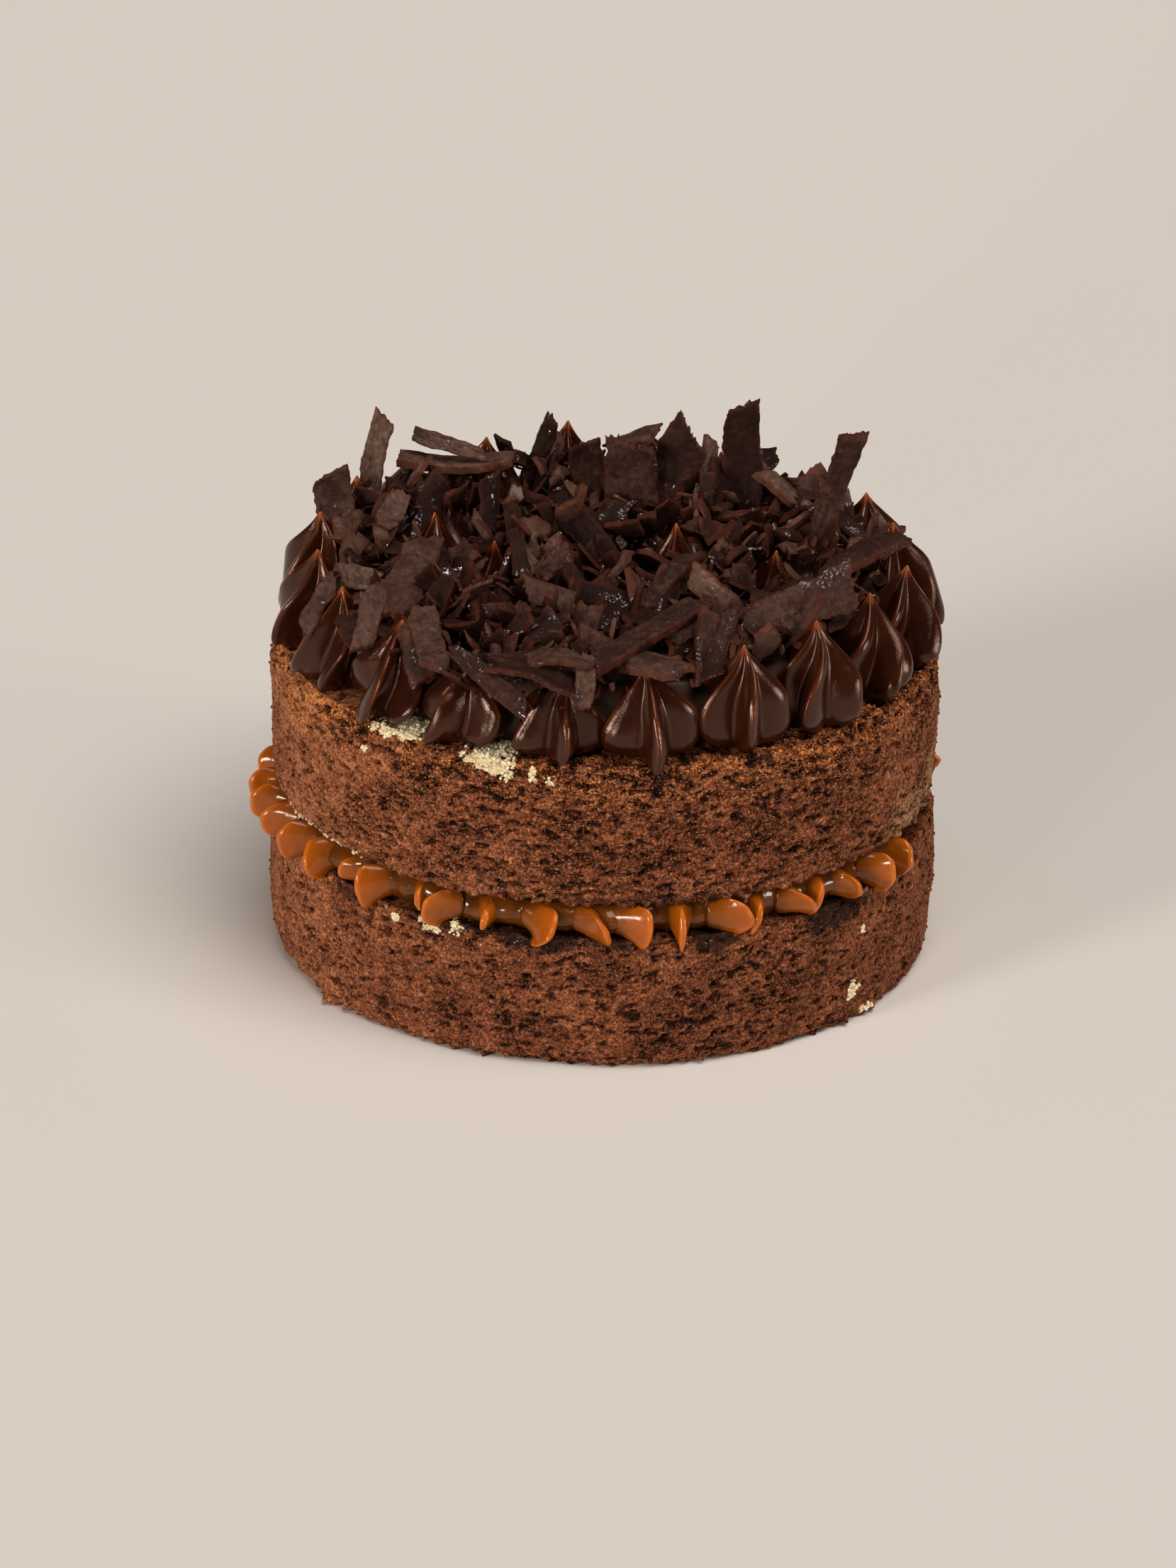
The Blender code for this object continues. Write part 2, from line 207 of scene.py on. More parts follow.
class Finish(TreeMaker):
    def __init__(self, name, **constants):
        self.material = bpy.data.materials.new(name)
        self.material.use_nodes = True
        super().__init__(self.material.node_tree)
        self.shader = self.tree.nodes["Principled BSDF"]
        self.place = self.add("ShaderNodeTexCoord", {}, {}, "Object")
        for socket, value in constants.items():
            self.shader.inputs[socket.replace("_", " ")].default_value = value

    def noise(self, size, detail=3.0, roughness=0.55, stretch=(1, 1, 1), place=None):   # size in mm
        spot = self.add("ShaderNodeMapping", {}, {"Vector": place or self.place, "Scale": stretch})
        values = {"Vector": spot, "Scale": 1 / (size * mm), "Detail": detail, "Roughness": roughness}
        return self.add("ShaderNodeTexNoise", {}, values)

    def painted(self, name):
        return self.add("ShaderNodeAttribute", {"attribute_name": name}, {}, "Fac")

    def blend(self, share, first, second):
        return self.add("ShaderNodeMix", {"data_type": "RGBA"}, {0: share, 6: first, 7: second}, 2)

    def shades(self, share, *stops):
        return self.add("ShaderNodeValToRGB", {"stops": stops}, {0: share})

    def bump(self, height, distance, strength):   # distance in mm
        values = {"Height": height, "Distance": distance * mm, "Strength": strength}
        return self.add("ShaderNodeBump", {}, values)

    def wear(self, **looks):   # what changes over the surface
        for socket, value in looks.items():
            self.feed(self.shader.inputs[socket.replace("_", " ")], value)
        return self.material


def srgb(red, green, blue):   # colour as seen on screen, 0 to 255
    def straight(value):
        value /= 255
        return value / 12.92 if value <= 0.04045 else ((value + 0.055) / 1.055) ** 2.4
    return (straight(red), straight(green), straight(blue))


def spongeFinish():
    finish = Finish("chocolateSponge", Specular_IOR_Level=0.08, Coat_Roughness=0.16)
    luck = finish.painted("luck")      # differs from crumb to crumb
    toast = finish.painted("toast")
    wet = finish.painted("wet")
    grain = finish.noise(0.6, 4, 0.7)
    mottle = finish.noise(1.8, 3, 0.6, stretch=(0.7, 0.7, 1.7))
    patch = finish.noise(11, 3, 0.55, stretch=(0.8, 0.8, 1.5))
    torn = (finish.painted("open") + (patch - 0.5) * 2.2).between(0.15, 0.9)      # 1 where it lies open
    pits = finish.noise(0.7, 2, 0.5, stretch=(0.75, 0.75, 1.5)).between(0.60, 0.65)
    line = finish.noise(5, 2, 0.5, stretch=(0.6, 0.6, 3.2))
    cracks = line.between(0.48, 0.50) * (1 - line.between(0.50, 0.52)) * torn
    specks = finish.noise(0.55, 1, 0.5).between(0.63, 0.70)
    # painted shade: the painted shade and damp share, pits and cracks darken the crumb, on top of its grain
    # and crumb-to-crumb tone
    depth = (finish.painted("paintedShadeAndDamp") + luck * 0.25 + (grain - 0.5) * 2.0 + (mottle - 0.5) * 0.8
             + (patch - 0.5) * 0.6 + pits * (torn * 0.36 + 0.03) + cracks * 0.28 + 0.02)
    plain = finish.shades(depth, (0.0, srgb(186, 122, 82)), (1.0, srgb(26, 9, 4)),
                          (0.22, srgb(146, 85, 54)), (0.46, srgb(106, 57, 34)), (0.72, srgb(62, 28, 15)))
    crisp = finish.shades(depth, (0.0, srgb(222, 146, 82)), (1.0, srgb(30, 11, 4)),
                          (0.22, srgb(168, 96, 50)), (0.44, srgb(112, 58, 28)), (0.68, srgb(58, 24, 10)))
    base = finish.blend(toast, plain, crisp)
    base = finish.blend(specks * (torn * 0.4 + toast * 0.5 + 0.2), base, srgb(232, 158, 90))
    base = finish.blend(wet * (0.7 + mottle * 0.5), base, srgb(36, 17, 11))
    dusty = finish.painted("dust") * (1 - depth).between(0.3, 0.8)
    base = finish.blend(dusty, base, srgb(190, 158, 122))
    powder = (finish.painted("flour") * 1.3 - depth * 0.8 + (patch - 0.5)).between(0.15, 0.65)
    base = finish.blend(powder, base, srgb(226, 200, 152))
    glint = finish.noise(0.42, 1, 0.5).between(0.62, 0.68)
    moist = glint * (0.6 + wet * 0.4) * (1 - depth * 0.6)
    roughness = 0.85 - wet * 0.25
    height = grain * 1.1 + mottle * 0.8 + specks * 0.3 - pits * 0.7 - cracks * 0.9
    return finish.wear(Base_Color=base, Roughness=roughness, Coat_Weight=moist,
                       Normal=finish.bump(height, 0.34, 1.0))


def caramelFinish():
    finish = Finish("pipedCaramel", IOR=1.47, Specular_IOR_Level=0.45, Specular_Tint=(1.0, 0.88, 0.76, 1),
                    Subsurface_Weight=0.12, Subsurface_Scale=0.002, Subsurface_Radius=(1.0, 0.5, 0.1))
    # painted glow and shade: thin ridges are painted light amber, as if lit through, the roots and the
    # recessed core dark
    thin = finish.painted("edge")
    cloud = finish.noise(4, 3) - 0.5
    base = finish.shades(thin + cloud * 0.4, (0.0, srgb(66, 34, 6)), (1.0, srgb(210, 116, 34)),
                         (0.3, srgb(134, 66, 10)), (0.62, srgb(174, 84, 14)))
    roughness = 0.06 + finish.noise(1.2, 3) * 0.14
    height = finish.noise(1.0, 3)
    return finish.wear(Base_Color=base, Roughness=roughness, Normal=finish.bump(height, 0.06, 0.6))


def ganacheFinish():
    finish = Finish("pipedGanache", IOR=1.47, Specular_IOR_Level=0.52, Specular_Tint=(1.0, 0.66, 0.51, 1),
                    Subsurface_Weight=0.1, Subsurface_Scale=0.0015, Subsurface_Radius=(1.0, 0.35, 0.15))
    # painted glow: higher edge shares paint thin ridges and tips amber, as if light shone through them
    edge = finish.painted("edge")
    cloud = finish.noise(6, 3) - 0.5
    base = finish.shades(edge + cloud * 0.35, (0.0, srgb(30, 10, 4)), (1.0, srgb(158, 84, 36)),
                         (0.35, srgb(54, 22, 10)), (0.7, srgb(108, 46, 18)))
    grain = finish.noise(0.5, 3, 0.7) + finish.noise(4, 2) * 1.5
    sheen = finish.noise(3.5, 3, 0.6).between(0.4, 0.6)      # smooth in some places, bloomed in others
    roughness = 0.06 + sheen * 0.1 + finish.painted("dull") * 0.5
    return finish.wear(Base_Color=base, Roughness=roughness, Normal=finish.bump(grain, 0.07, 0.7))


def flakeFinish():
    finish = Finish("brokenChocolate", IOR=1.46, Specular_IOR_Level=0.1, Coat_Roughness=0.1)
    luck = finish.painted("luck")
    edge = finish.painted("edge")
    along = finish.add("ShaderNodeUVMap", {"uv_map": "grain"}, {})
    grooves = finish.noise(1.1, 3, 0.6, stretch=(0.22, 1, 1), place=along)
    dust = finish.noise(1.6, 4, 0.7)
    tone = luck * 0.75 + (dust - 0.5) * 0.9 + (grooves - 0.5) * 0.25 + 0.06
    base = finish.shades(tone, (0.0, srgb(24, 9, 5)), (1.0, srgb(130, 104, 90)),
                         (0.4, srgb(55, 32, 24)), (0.75, srgb(90, 64, 53)))
    base = finish.blend(edge * 0.6, base, srgb(84, 38, 22))
    soaked = (finish.noise(7, 2) - luck * 0.25).between(0.34, 0.48)      # the flakes took up moisture
    base = finish.blend(soaked * 0.5, base, srgb(34, 15, 11))
    moist = finish.noise(0.6, 2, 0.6).between(0.53, 0.61) * (soaked * 0.9 + 0.1)
    height = grooves * 0.3 + finish.noise(0.5, 3, 0.75)
    return finish.wear(Base_Color=base, Roughness=0.6, Coat_Weight=moist,
                       Normal=finish.bump(height, 0.22, 0.9))


def flourFinish():
    finish = Finish("flourCrumb", Roughness=0.9)
    luck = finish.painted("luck")
    base = finish.blend(luck, srgb(242, 230, 198), srgb(226, 204, 160))
    return finish.wear(Base_Color=base, Normal=finish.bump(finish.noise(0.4, 2), 0.1, 0.8))


sponge = spongeFinish()
caramel = caramelFinish()
ganache = ganacheFinish()
chocolate = flakeFinish()
flour = flourFinish()
print("materials ready")


# Sponge layers

layers = {
    "radius": 74.3 * mm,
    "relief": 0.8 * mm,
    "reliefSeed": 3.7,
    "columns": 1200,
    "sideRows": 64,
    "rimRows": 5,
    "deckRows": 9,
    "deckInner": 60 * mm,
    "bulges": (3.1, 14 * mm),      # how often the side swells, round and upward
    "rimStep": 0.7,                # this one and the next in mm
    "ragged": 1.7,
}
lowerLayer = {
    "node": "lower_sponge",
    "lowerRim": 2.2 * mm,
    "upperRim": 1.2 * mm,
    "toastFrom": 0.9,      # share of the height above which the crumb is crisp
    "toast": 0.35,
    "open": 0.22,          # how open the crumb lies
    "strata": 1.0,
    "damp": 0.04,
    "tone": 0.06,
    "lip": 1.0,
    "dust": 0.0,
    "lumps": ((-53, 2.6, 2.4), (-49, 1.6, 1.4), (54, 3.0, 2.6), (47, 1.8, 1.5), (18, 2.0, 1.2),
              (-20, 2.4, 1.2)),      # at the foot: degrees from the front, half-width, then mm
    # Spots: degrees from the front, height share, half-widths in degrees and mm, strength
    "flour": ((-30, 0.95, 2.6, 1.6, 0.7), (-25, 0.97, 2.2, 1.4, 0.6), (-37, 0.93, 0.8, 1.0, 1.0),
              (51, 0.72, 0.8, 1.0, 1.0), (49, 0.26, 1.5, 2.2, 0.8), (53, 0.05, 1.5, 1.5, 0.8)),
    "wet": ((-26, 1.0, 7.0, 2.6, 0.9), (-12, 1.0, 10.0, 3.6, 1.0), (2, 1.0, 7.0, 2.6, 0.8),
            (20, 0.96, 5.0, 3.4, 0.9), (44, 0.97, 9.0, 4.8, 0.95), (-48, 0.97, 6.0, 3.0, 0.7)),
}
upperLayer = {
    "node": "upper_sponge",
    "lowerRim": 1.2 * mm,
    "upperRim": 2.4 * mm,
    "toastFrom": 0.62,
    "toast": 1.0,
    "open": 0.50,
    "strata": 0.5,
    "damp": 0.06,
    "tone": 0.0,
    "lip": 0.0,
    "dust": 0.6,
    "lumps": (),
    "flour": ((-39, 1.00, 5.0, 1.7, 1.0), (-20, 0.97, 4.6, 2.4, 1.0), (-17, 0.91, 1.6, 1.4, 0.7),
              (-12, 0.93, 0.9, 1.6, 0.7), (-9, 0.88, 1.0, 0.8, 0.6), (-45, 0.82, 0.6, 0.8, 1.0)),
    "wet": ((5, 0.03, 14.0, 1.6, 0.5),),
}
zones = {   # degrees from the front: starts, full, fades, ends
    "smoothLeft": (-170, -120, -75, -25),
    "damp": (-45, 0, 60, 100),
    "lip": (66, 76, 92, 104),      # where the lower layer stands up past the caramel
    "dust": (50, 66, 80, 96),
}
lip = {"out": 0.8, "up": 2.4, "depth": 7}      # mm
creamRim = {"from": -74, "to": -46, "height": 1.1 * mm}      # pale edge, lower left of the upper layer
# Painted light and shade: how much darker the crumb is painted, by degrees from the front, lighter toward
# the left where the key light falls and darker toward the front right
paintedLightRound = curveThrough(((-180, -0.02), (-100, -0.08), (-58, -0.12), (-35, 0.02), (-5, 0.04), (28, 0.08),
                          (58, 0.02), (100, 0.0), (180, -0.02)))
crumb = {   # sizes in mm
    "warp": 2.7,
    "warpShifts": ((0, 0, 0), (9, 3, 1), (2, 7, 5)),
    "bend": 0.8,
    "flatten": 1.3,
    "lumps": 7.5,
    "grit": 1.25,
    "crowns": 1.5,
    "grains": 0.85,
    "lines": (7, 7, 0.95),
    "patches": 9,
    "pits": (1.9, 1.9, 1.1),
    "tears": (4.2, 4.2, 1.5),
}


def zone(name, angle):
    start, full, fade, end = zones[name]
    return ease(start, full, angle) * ease(end, fade, angle)


def stretched(point, sizes):
    return Vector([value / size for value, size in zip(point, sizes)])


def spotStrength(spots, angle, share, tall, ragged):
    strength = 0
    for spotAngle, spotShare, wide, tallMm, most in spots:
        aside = angleGap(angle, spotAngle) / wide
        if aside < 2:
            far = math.hypot(aside, (share - spotShare) * tall / (tallMm * mm)) + ragged
            strength = max(strength, most * ease(1.05, 0.7, far))
    return strength


def roundedCells(point, size):   # 1 on the crown of a crumb, falling toward the cracks round it
    near = noise.voronoi(point / size)[0]
    return clamp(1 - near[0] * near[0] * 1.5) * ease(0.0, 0.22, near[1] - near[0])


def crumbRelief(point, openness, strata):   # heights in mm, and painted shade: how dark a point is painted for lying deep in a hole
    warp = Vector([noise.noise(point / crumb["warp"] + Vector(shift)) for shift in crumb["warpShifts"]])
    bent = point + crumb["bend"] * warp
    bent.z *= crumb["flatten"]
    lumps = 0.4 * noise.fractal(point / crumb["lumps"], 0.8, 2.0, 2)
    grit = (0.10 + 0.24 * openness) * noise.fractal(bent / crumb["grit"], 0.3, 2.0, 2)
    crowns = (0.03 + 0.20 * openness) * (roundedCells(bent, crumb["crowns"]) - 0.5)
    grains = (0.06 + 0.16 * openness) * (roundedCells(bent, crumb["grains"]) - 0.5)
    layerLine = noise.noise(stretched(point, crumb["lines"]) + Vector((3, 9, 1)))
    patch = noise.noise(point / crumb["patches"] + Vector((7, 1, 4)))
    crease = ease(0.06, 0.0, abs(layerLine)) * ease(0.05, 0.4, patch) * (0.4 + 0.6 * strata)
    stripes = 0.12 * strata * layerLine
    spots, centres = noise.voronoi(stretched(bent, crumb["pits"]))
    luck = noise.cell(centres[0] * 9.1)
    size = 0.14 + 0.24 * noise.cell(centres[0] * 5.3 + Vector((2, 2, 2)))
    pit = ease(size, size * 0.3, spots[0]) if luck < 0.05 + 0.26 * openness else 0
    ragged = noise.noise(stretched(bent, crumb["tears"]) + Vector((1, 5, 2)))
    torn = ease(0.52, 0.76, ragged + 0.3 * openness)
    fine = grit + crowns + grains
    height = lumps + fine + stripes - 0.7 * pit - 0.35 * crease - 1.0 * torn
    # painted shade: darker in pits, creases and torn hollows, lighter on raised grains
    return height, clamp(0.31 - 0.45 * fine + 0.40 * pit + 0.32 * crease + 0.42 * torn)


def makeSponge(name, look):
    node = look["node"]
    low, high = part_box(node)
    base = low.z
    tall = high.z - low.z
    lowerRim = look["lowerRim"]
    upperRim = look["upperRim"]
    inset = curveThrough(((0.00, lowerRim), (0.05, lowerRim * 0.45), (0.16, lowerRim * 0.1), (0.38, 0),
                          (0.62, -0.3 * mm), (0.84, 0.1 * mm), (0.95, upperRim * 0.4), (1.00, upperRim)))
    columns = layers["columns"]
    stops = []   # (height share, how far in from the side's own radius)
    for row in range(layers["rimRows"]):
        stops.append((0.0, (layers["rimRows"] - row) * layers["rimStep"] * mm))
    for row in range(layers["sideRows"] + 1):
        stops.append((row / layers["sideRows"], 0))
    deckStart = layers["radius"] - upperRim
    for row in range(1, layers["deckRows"] + 1):
        stops.append((1.0, (deckStart - layers["deckInner"]) * (row / layers["deckRows"]) ** 1.3))
    points = []
    turning, rising = layers["bulges"]
    looks = {"paintedShadeAndDamp": [], "open": [], "toast": [], "flour": [], "wet": [], "crumbs": [], "dust": []}
    for share, inward in stops:
        height = base + share * tall
        for column in range(columns):
            angle = 360 * column / columns - 180
            turn = math.radians(angle)
            bulge = Vector((math.cos(turn) * turning, math.sin(turn) * turning,
                            height / rising + layers["reliefSeed"]))
            radius = layers["radius"] - inset(share) + layers["relief"] * noise.noise(bulge) - inward
            point = around(angle, radius, height)
            spot = point / mm
            broad = noise.noise(spot / 15)
            openness = look["open"] + 0.35 * broad
            openness += look["toast"] * 0.45 * ease(look["toastFrom"], 0.95, share)
            openness = clamp(openness * (1 - 0.55 * zone("smoothLeft", angle)))
            fine, shadeAndDamp = crumbRelief(spot, openness, look["strata"] * ease(0.75, 0.4, share))
            edgeNoise = noise.noise(spot / 2.3 + Vector((6, 6, 6)))
            outward = Vector((point.x, point.y, 0)).normalized()
            lifted = look["lip"] * zone("lip", angle)
            bottomEdge = ease(0.07, 0.0, share)
            topEdge = ease(0.93, 1.0, share)
            edge = max(bottomEdge, 0.5 * topEdge)
            lump = sum(size * ease(wide, 0, angleGap(angle, place)) for place, wide, size in look["lumps"])
            if inward > 0 and share == 0:
                point.z += 0 if base < mm else -0.3 * mm * fine
            elif inward > 0:
                point.z += (0.9 * fine - 0.35) * mm
            else:
                point += outward * mm * (fine * (1 - 0.3 * topEdge) + layers["ragged"] * edgeNoise * edge)
                point += outward * mm * lump * ease(0.16, 0.02, share) * (0.7 + edgeNoise)
                point.z += mm * topEdge * (0.6 * fine + 0.5 * edgeNoise)
                point += outward * lifted * lip["out"] * mm * ease(0.4, 1.0, share)
                if base > mm:
                    point.z -= mm * bottomEdge * 0.5 * abs(edgeNoise)
            point.z += lifted * lip["up"] * mm * topEdge * ease(lip["depth"] * mm, 0, inward)
            point.z = max(point.z, base if base < mm else 0)
            points.append(point)
            grade = look["toast"] * ease(look["toastFrom"], 1.0, share + 0.12 * noise.noise(spot / 9))
            damp = look["damp"] * ease(0.0, 0.2, share) * ease(0.85, 0.6, share) * zone("damp", angle)
            # painted shade from the holes and painted light and shade by angle, with damp and the layer's
            # own tone
            shadeAndDamp = clamp(shadeAndDamp + damp * (0.8 + 1.2 * broad) * (1 - grade) + look["tone"] + paintedLightRound(angle))
            ragged = 0.75 * noise.noise(spot / 1.6) + 0.4 * noise.noise(spot / 0.8)
            white = spotStrength(look["flour"], angle, share, tall, ragged)
            if node == "upper_sponge" and creamRim["from"] < angle < creamRim["to"]:
                line = share * tall / creamRim["height"] + 0.8 * noise.noise(spot / 2.5)
                white = max(white, 0.5 * ease(1.0, 0.5, line))
            looks["paintedShadeAndDamp"].append(shadeAndDamp)
            looks["open"].append(openness)
            looks["toast"].append(clamp(grade * ease(-0.5, 0.25, noise.noise(spot / 5 + Vector((4, 4, 4))))))
            aboveFloor = ease(0.5 * mm, 1.5 * mm, point.z)
            looks["flour"].append(white * aboveFloor)
            pale = look["dust"] * zone("dust", angle) * ease(0.45, 0.05, share)
            looks["dust"].append(pale * ease(-0.5, 0.3, noise.noise(spot / 3)))
            sticky = spotStrength(look["wet"], angle, share, tall, 0.7 * ragged)
            looks["wet"].append(sticky * (1 - white))
            rim = 1.6 * topEdge + 0.8 * bottomEdge
            loose = 0.2 + 0.5 * openness + 0.5 * grade + rim
            looks["crumbs"].append(aboveFloor * clamp(loose * ease(0.2, 0.0, inward / (12 * mm))))
    faces = solidFaces(len(stops), columns)
    piece = makeMesh(name, points, faces)
    for key, values in looks.items():
        paint(piece, key, values)
    piece.data.materials.append(sponge)
    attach(piece, "root")
    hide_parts(node)
    print(name, "has", len(faces), "faces")
    return piece


lowerSponge = makeSponge("lowerSponge", lowerLayer)
upperSponge = makeSponge("upperSponge", upperLayer)


# Piped ganache stars

stars = {
    "lobes": 5,
    "foldDepth": 0.60,
    "twist": 0.62,
    "swing": 0.16,
    "ridgeLean": 0.26,
    "uneven": 0.07,
    "ridgeUneven": 0.18,
    "press": 2.4 * mm,
    "outerCount": 20,
    "outerRing": 65 * mm,
    "outerFirst": 9,
    "outerRadius": 11.2 * mm,
    "outerHeight": 22.5 * mm,
    "flattened": {19: 0.80, 0: 0.88, 18: 0.76},
    "inner": ((-39, 12), (-25, 36), (-25, -3), (15, 10), (37, -6)),
    "innerRadius": 8.6 * mm,
    "innerHeight": 22 * mm,
    "gap": 0.3 * mm,
    "hangStart": 0.8 * mm,
    "hang": 4.6 * mm,
    "rows": 52,
    "columns": 120,
}
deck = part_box("ganache_star_01")[0].z
deck = max(deck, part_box("upper_sponge")[1].z + stars["gap"])
starOutline = curveThrough(((0.0, 0.68), (0.06, 0.85), (0.14, 0.96), (0.24, 1.0), (0.36, 0.96),
                            (0.48, 0.86), (0.61, 0.68), (0.75, 0.42), (0.87, 0.20), (0.95, 0.08),
                            (1.0, 0.02)))   # share of the radius by share of the height


def finPoint(column, columns, depth, plump):
    # One point of a five-finned outline of radius 1: its distance, its turn, its fin, and 1 at the
    # ridge to 0 in the fold. The cheeks bulge a little, and points crowd toward the ridges.
    half = math.pi / stars["lobes"]
    fin, step = divmod(column, columns // stars["lobes"])
    side = 2 * step * stars["lobes"] / columns - 1
    inward = abs(side) ** 1.7
    x = mixValue(1, (1 - depth) * math.cos(half), inward)
    y = math.copysign((1 - depth) * math.sin(half) * inward ** plump, side)
    y += 0.06 * math.sin(math.pi * side)
    return math.hypot(x, y), 2 * half * fin + math.atan2(y, x), fin, 1 - inward


def besideNeighbours(x, y, angle):   # an outer star is pressed flat against the next ones
    turn = math.radians(angle)
    outward = -y * math.cos(turn) + x * math.sin(turn)
    sideways = x * math.cos(turn) + y * math.sin(turn)
    room = outward * math.tan(math.pi / stars["outerCount"]) - stars["gap"]
    over = max(0, abs(sideways) - room)
    pressed = stars["press"] * (1 - math.exp(-over / stars["press"]))
    sideways = math.copysign(min(abs(sideways), room) + pressed, sideways)
    return (sideways * math.cos(turn) + outward * math.sin(turn),
            sideways * math.sin(turn) - outward * math.cos(turn))


def makeStar(number, centre, radius, height, facing, tip, angle=None):
    fate = random.Random(number + 200)
    lean = [fate.uniform(-stars["ridgeLean"], stars["ridgeLean"]) for _ in range(stars["lobes"])]
    rows = stars["rows"]
    columns = stars["columns"]
    points = []
    edges = []
    for row in range(rows):
        share = (row / (rows - 1)) ** 0.9
        reach = starOutline(share)
        depth = stars["foldDepth"] * (0.84 + 0.5 * share - 0.65 * share * share) * ease(1.02, 0.9, share)
        plump = mixValue(0.62, 0.78, ease(0.05, 0.5, share))
        sway = tip * share ** 2.2
        for column in range(columns):
            shape, turn, fin, ridge = finPoint(column, columns, depth, plump)
            heading = turn + facing + stars["twist"] * share + stars["swing"] * math.sin(share * 5 + number)
            heading += lean[fin] * ridge * (1 - 0.6 * share)
            spot = Vector((math.cos(heading), math.sin(heading), share * 1.5 + number * 3.7))
            wobble = 1 + stars["uneven"] * noise.noise(spot)
            spot = Vector((fin * 3.3 + 0.5, number * 2.1 + 0.3, share * 2))
            wobble *= 1 + stars["ridgeUneven"] * ridge * noise.noise(spot)
            distance = radius * reach * shape * wobble
            x = centre.x + distance * math.cos(heading) + sway.x
            y = centre.y + distance * math.sin(heading) + sway.y
            if angle is not None:
                x, y = besideNeighbours(x, y, angle)
            overhang = max(0, math.hypot(x, y) - (layers["radius"] - stars["hangStart"]))
            drop = min(stars["hang"], 1.6 * overhang) * (1 - share) ** 1.5
            points.append(Vector((x, y, centre.z + share * height - drop)))
            # painted glow: thin ridges and the tips are painted lighter, as if lit through
            thin = ease(0.85, 1.0, ridge) * ease(0.05, 0.5, share)
            edges.append(clamp(0.24 + 0.3 * thin - 0.08 * ridge + 0.6 * ease(0.84, 1.0, share)))
    piece = makeMesh(f"ganacheStar{number:02d}", points, solidFaces(rows, columns))
    paint(piece, "edge", edges)
    piece.data.materials.append(ganache)
    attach(piece, "root")
    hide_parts(f"ganache_star_{number:02d}")


def makeStars():
    draw = random.Random(5)
    for number in range(stars["outerCount"]):
        angle = stars["outerFirst"] + number * 360 / stars["outerCount"]
        centre = around(angle, stars["outerRing"], deck)
        height = stars["outerHeight"] * draw.uniform(0.95, 1.06) * stars["flattened"].get(number, 1)
        facing = draw.uniform(0, 2 * math.pi / stars["lobes"])
        tip = around(draw.uniform(0, 360), draw.uniform(0.5, 2.2) * mm, 0)
        makeStar(number + 1, centre, stars["outerRadius"], height, facing, tip, angle)
    for number, (x, y) in enumerate(stars["inner"], stars["outerCount"] + 1):
        centre = Vector((x * mm, y * mm, deck))
        height = stars["innerHeight"] * draw.uniform(0.98, 1.06)
        facing = draw.uniform(0, 2 * math.pi / stars["lobes"])
        tip = around(draw.uniform(0, 360), draw.uniform(0.3, 1.0) * mm, 0)
        makeStar(number, centre, stars["innerRadius"], height, facing, tip)


makeStars()
print("ganache stars ready")


# Caramel: a disc that runs through the cake, with the thin fins of squashed piped stars all round

filling = {
    "core": 70.5 * mm,
    "root": 70.2 * mm,
    "rootHalf": 3.4 * mm,
    "ridgeHalf": 0.8 * mm,
    "spacing": 8.0,
    "gap": 0.3 * mm,
    "rows": 20,
    "sides": 48,
    "coreRows": 9,
    "coreSides": 360,
    "arc": (0.35, 0.55),      # how far a fin's outline draws back at top and bottom
    "curl": 1.3,
    "bare": (66, 106),        # degrees where no fin shows and the edge lies deep
}
caramelFins = (   # degrees from the front, turn from straight out, then reach, half height, sag, slant in mm
    (-87, 6, 9.4, 4.4, 0.4, -0.3),
    (-79, -6, 9.8, 4.7, 0.3, 0.2),
    (-71, -10, 9.6, 4.6, 0.5, 0.4),
    (-63, -14, 9.6, 4.7, 0.6, 0.3),
    (-56, -12, 8.6, 4.2, 1.2, -1.6),
    (-48, -30, 5.6, 2.8, 0.8, 0.6),
    (-41, -24, 8.6, 4.8, 0.9, -0.8),
    (-33, 4, 5.0, 2.9, 0.3, 0.0),
    (-26, -46, 9.0, 4.7, 1.0, 0.6),
    (-20, 16, 6.2, 2.5, 1.4, 0.4),
    (-12, 44, 9.0, 3.8, 1.5, 2.6),
    (-3, 42, 8.4, 4.0, 1.8, -1.8),
    (3, 54, 9.4, 4.7, 1.0, 0.5),
    (14, -6, 7.6, 5.0, 1.3, 0.0),
    (20, 52, 9.8, 4.7, 0.6, -0.9),
    (28, -14, 6.6, 3.6, 1.6, 1.0),
    (34, 34, 8.4, 3.2, 1.0, -2.0),
    (41, -22, 6.4, 3.8, 1.2, 1.6),
    (46, 26, 7.6, 3.4, 0.7, -1.4),
    (54, 16, 8.8, 4.5, 0.4, 0.4),
    (62, -4, 8.0, 4.2, 0.3, 0.6),
)


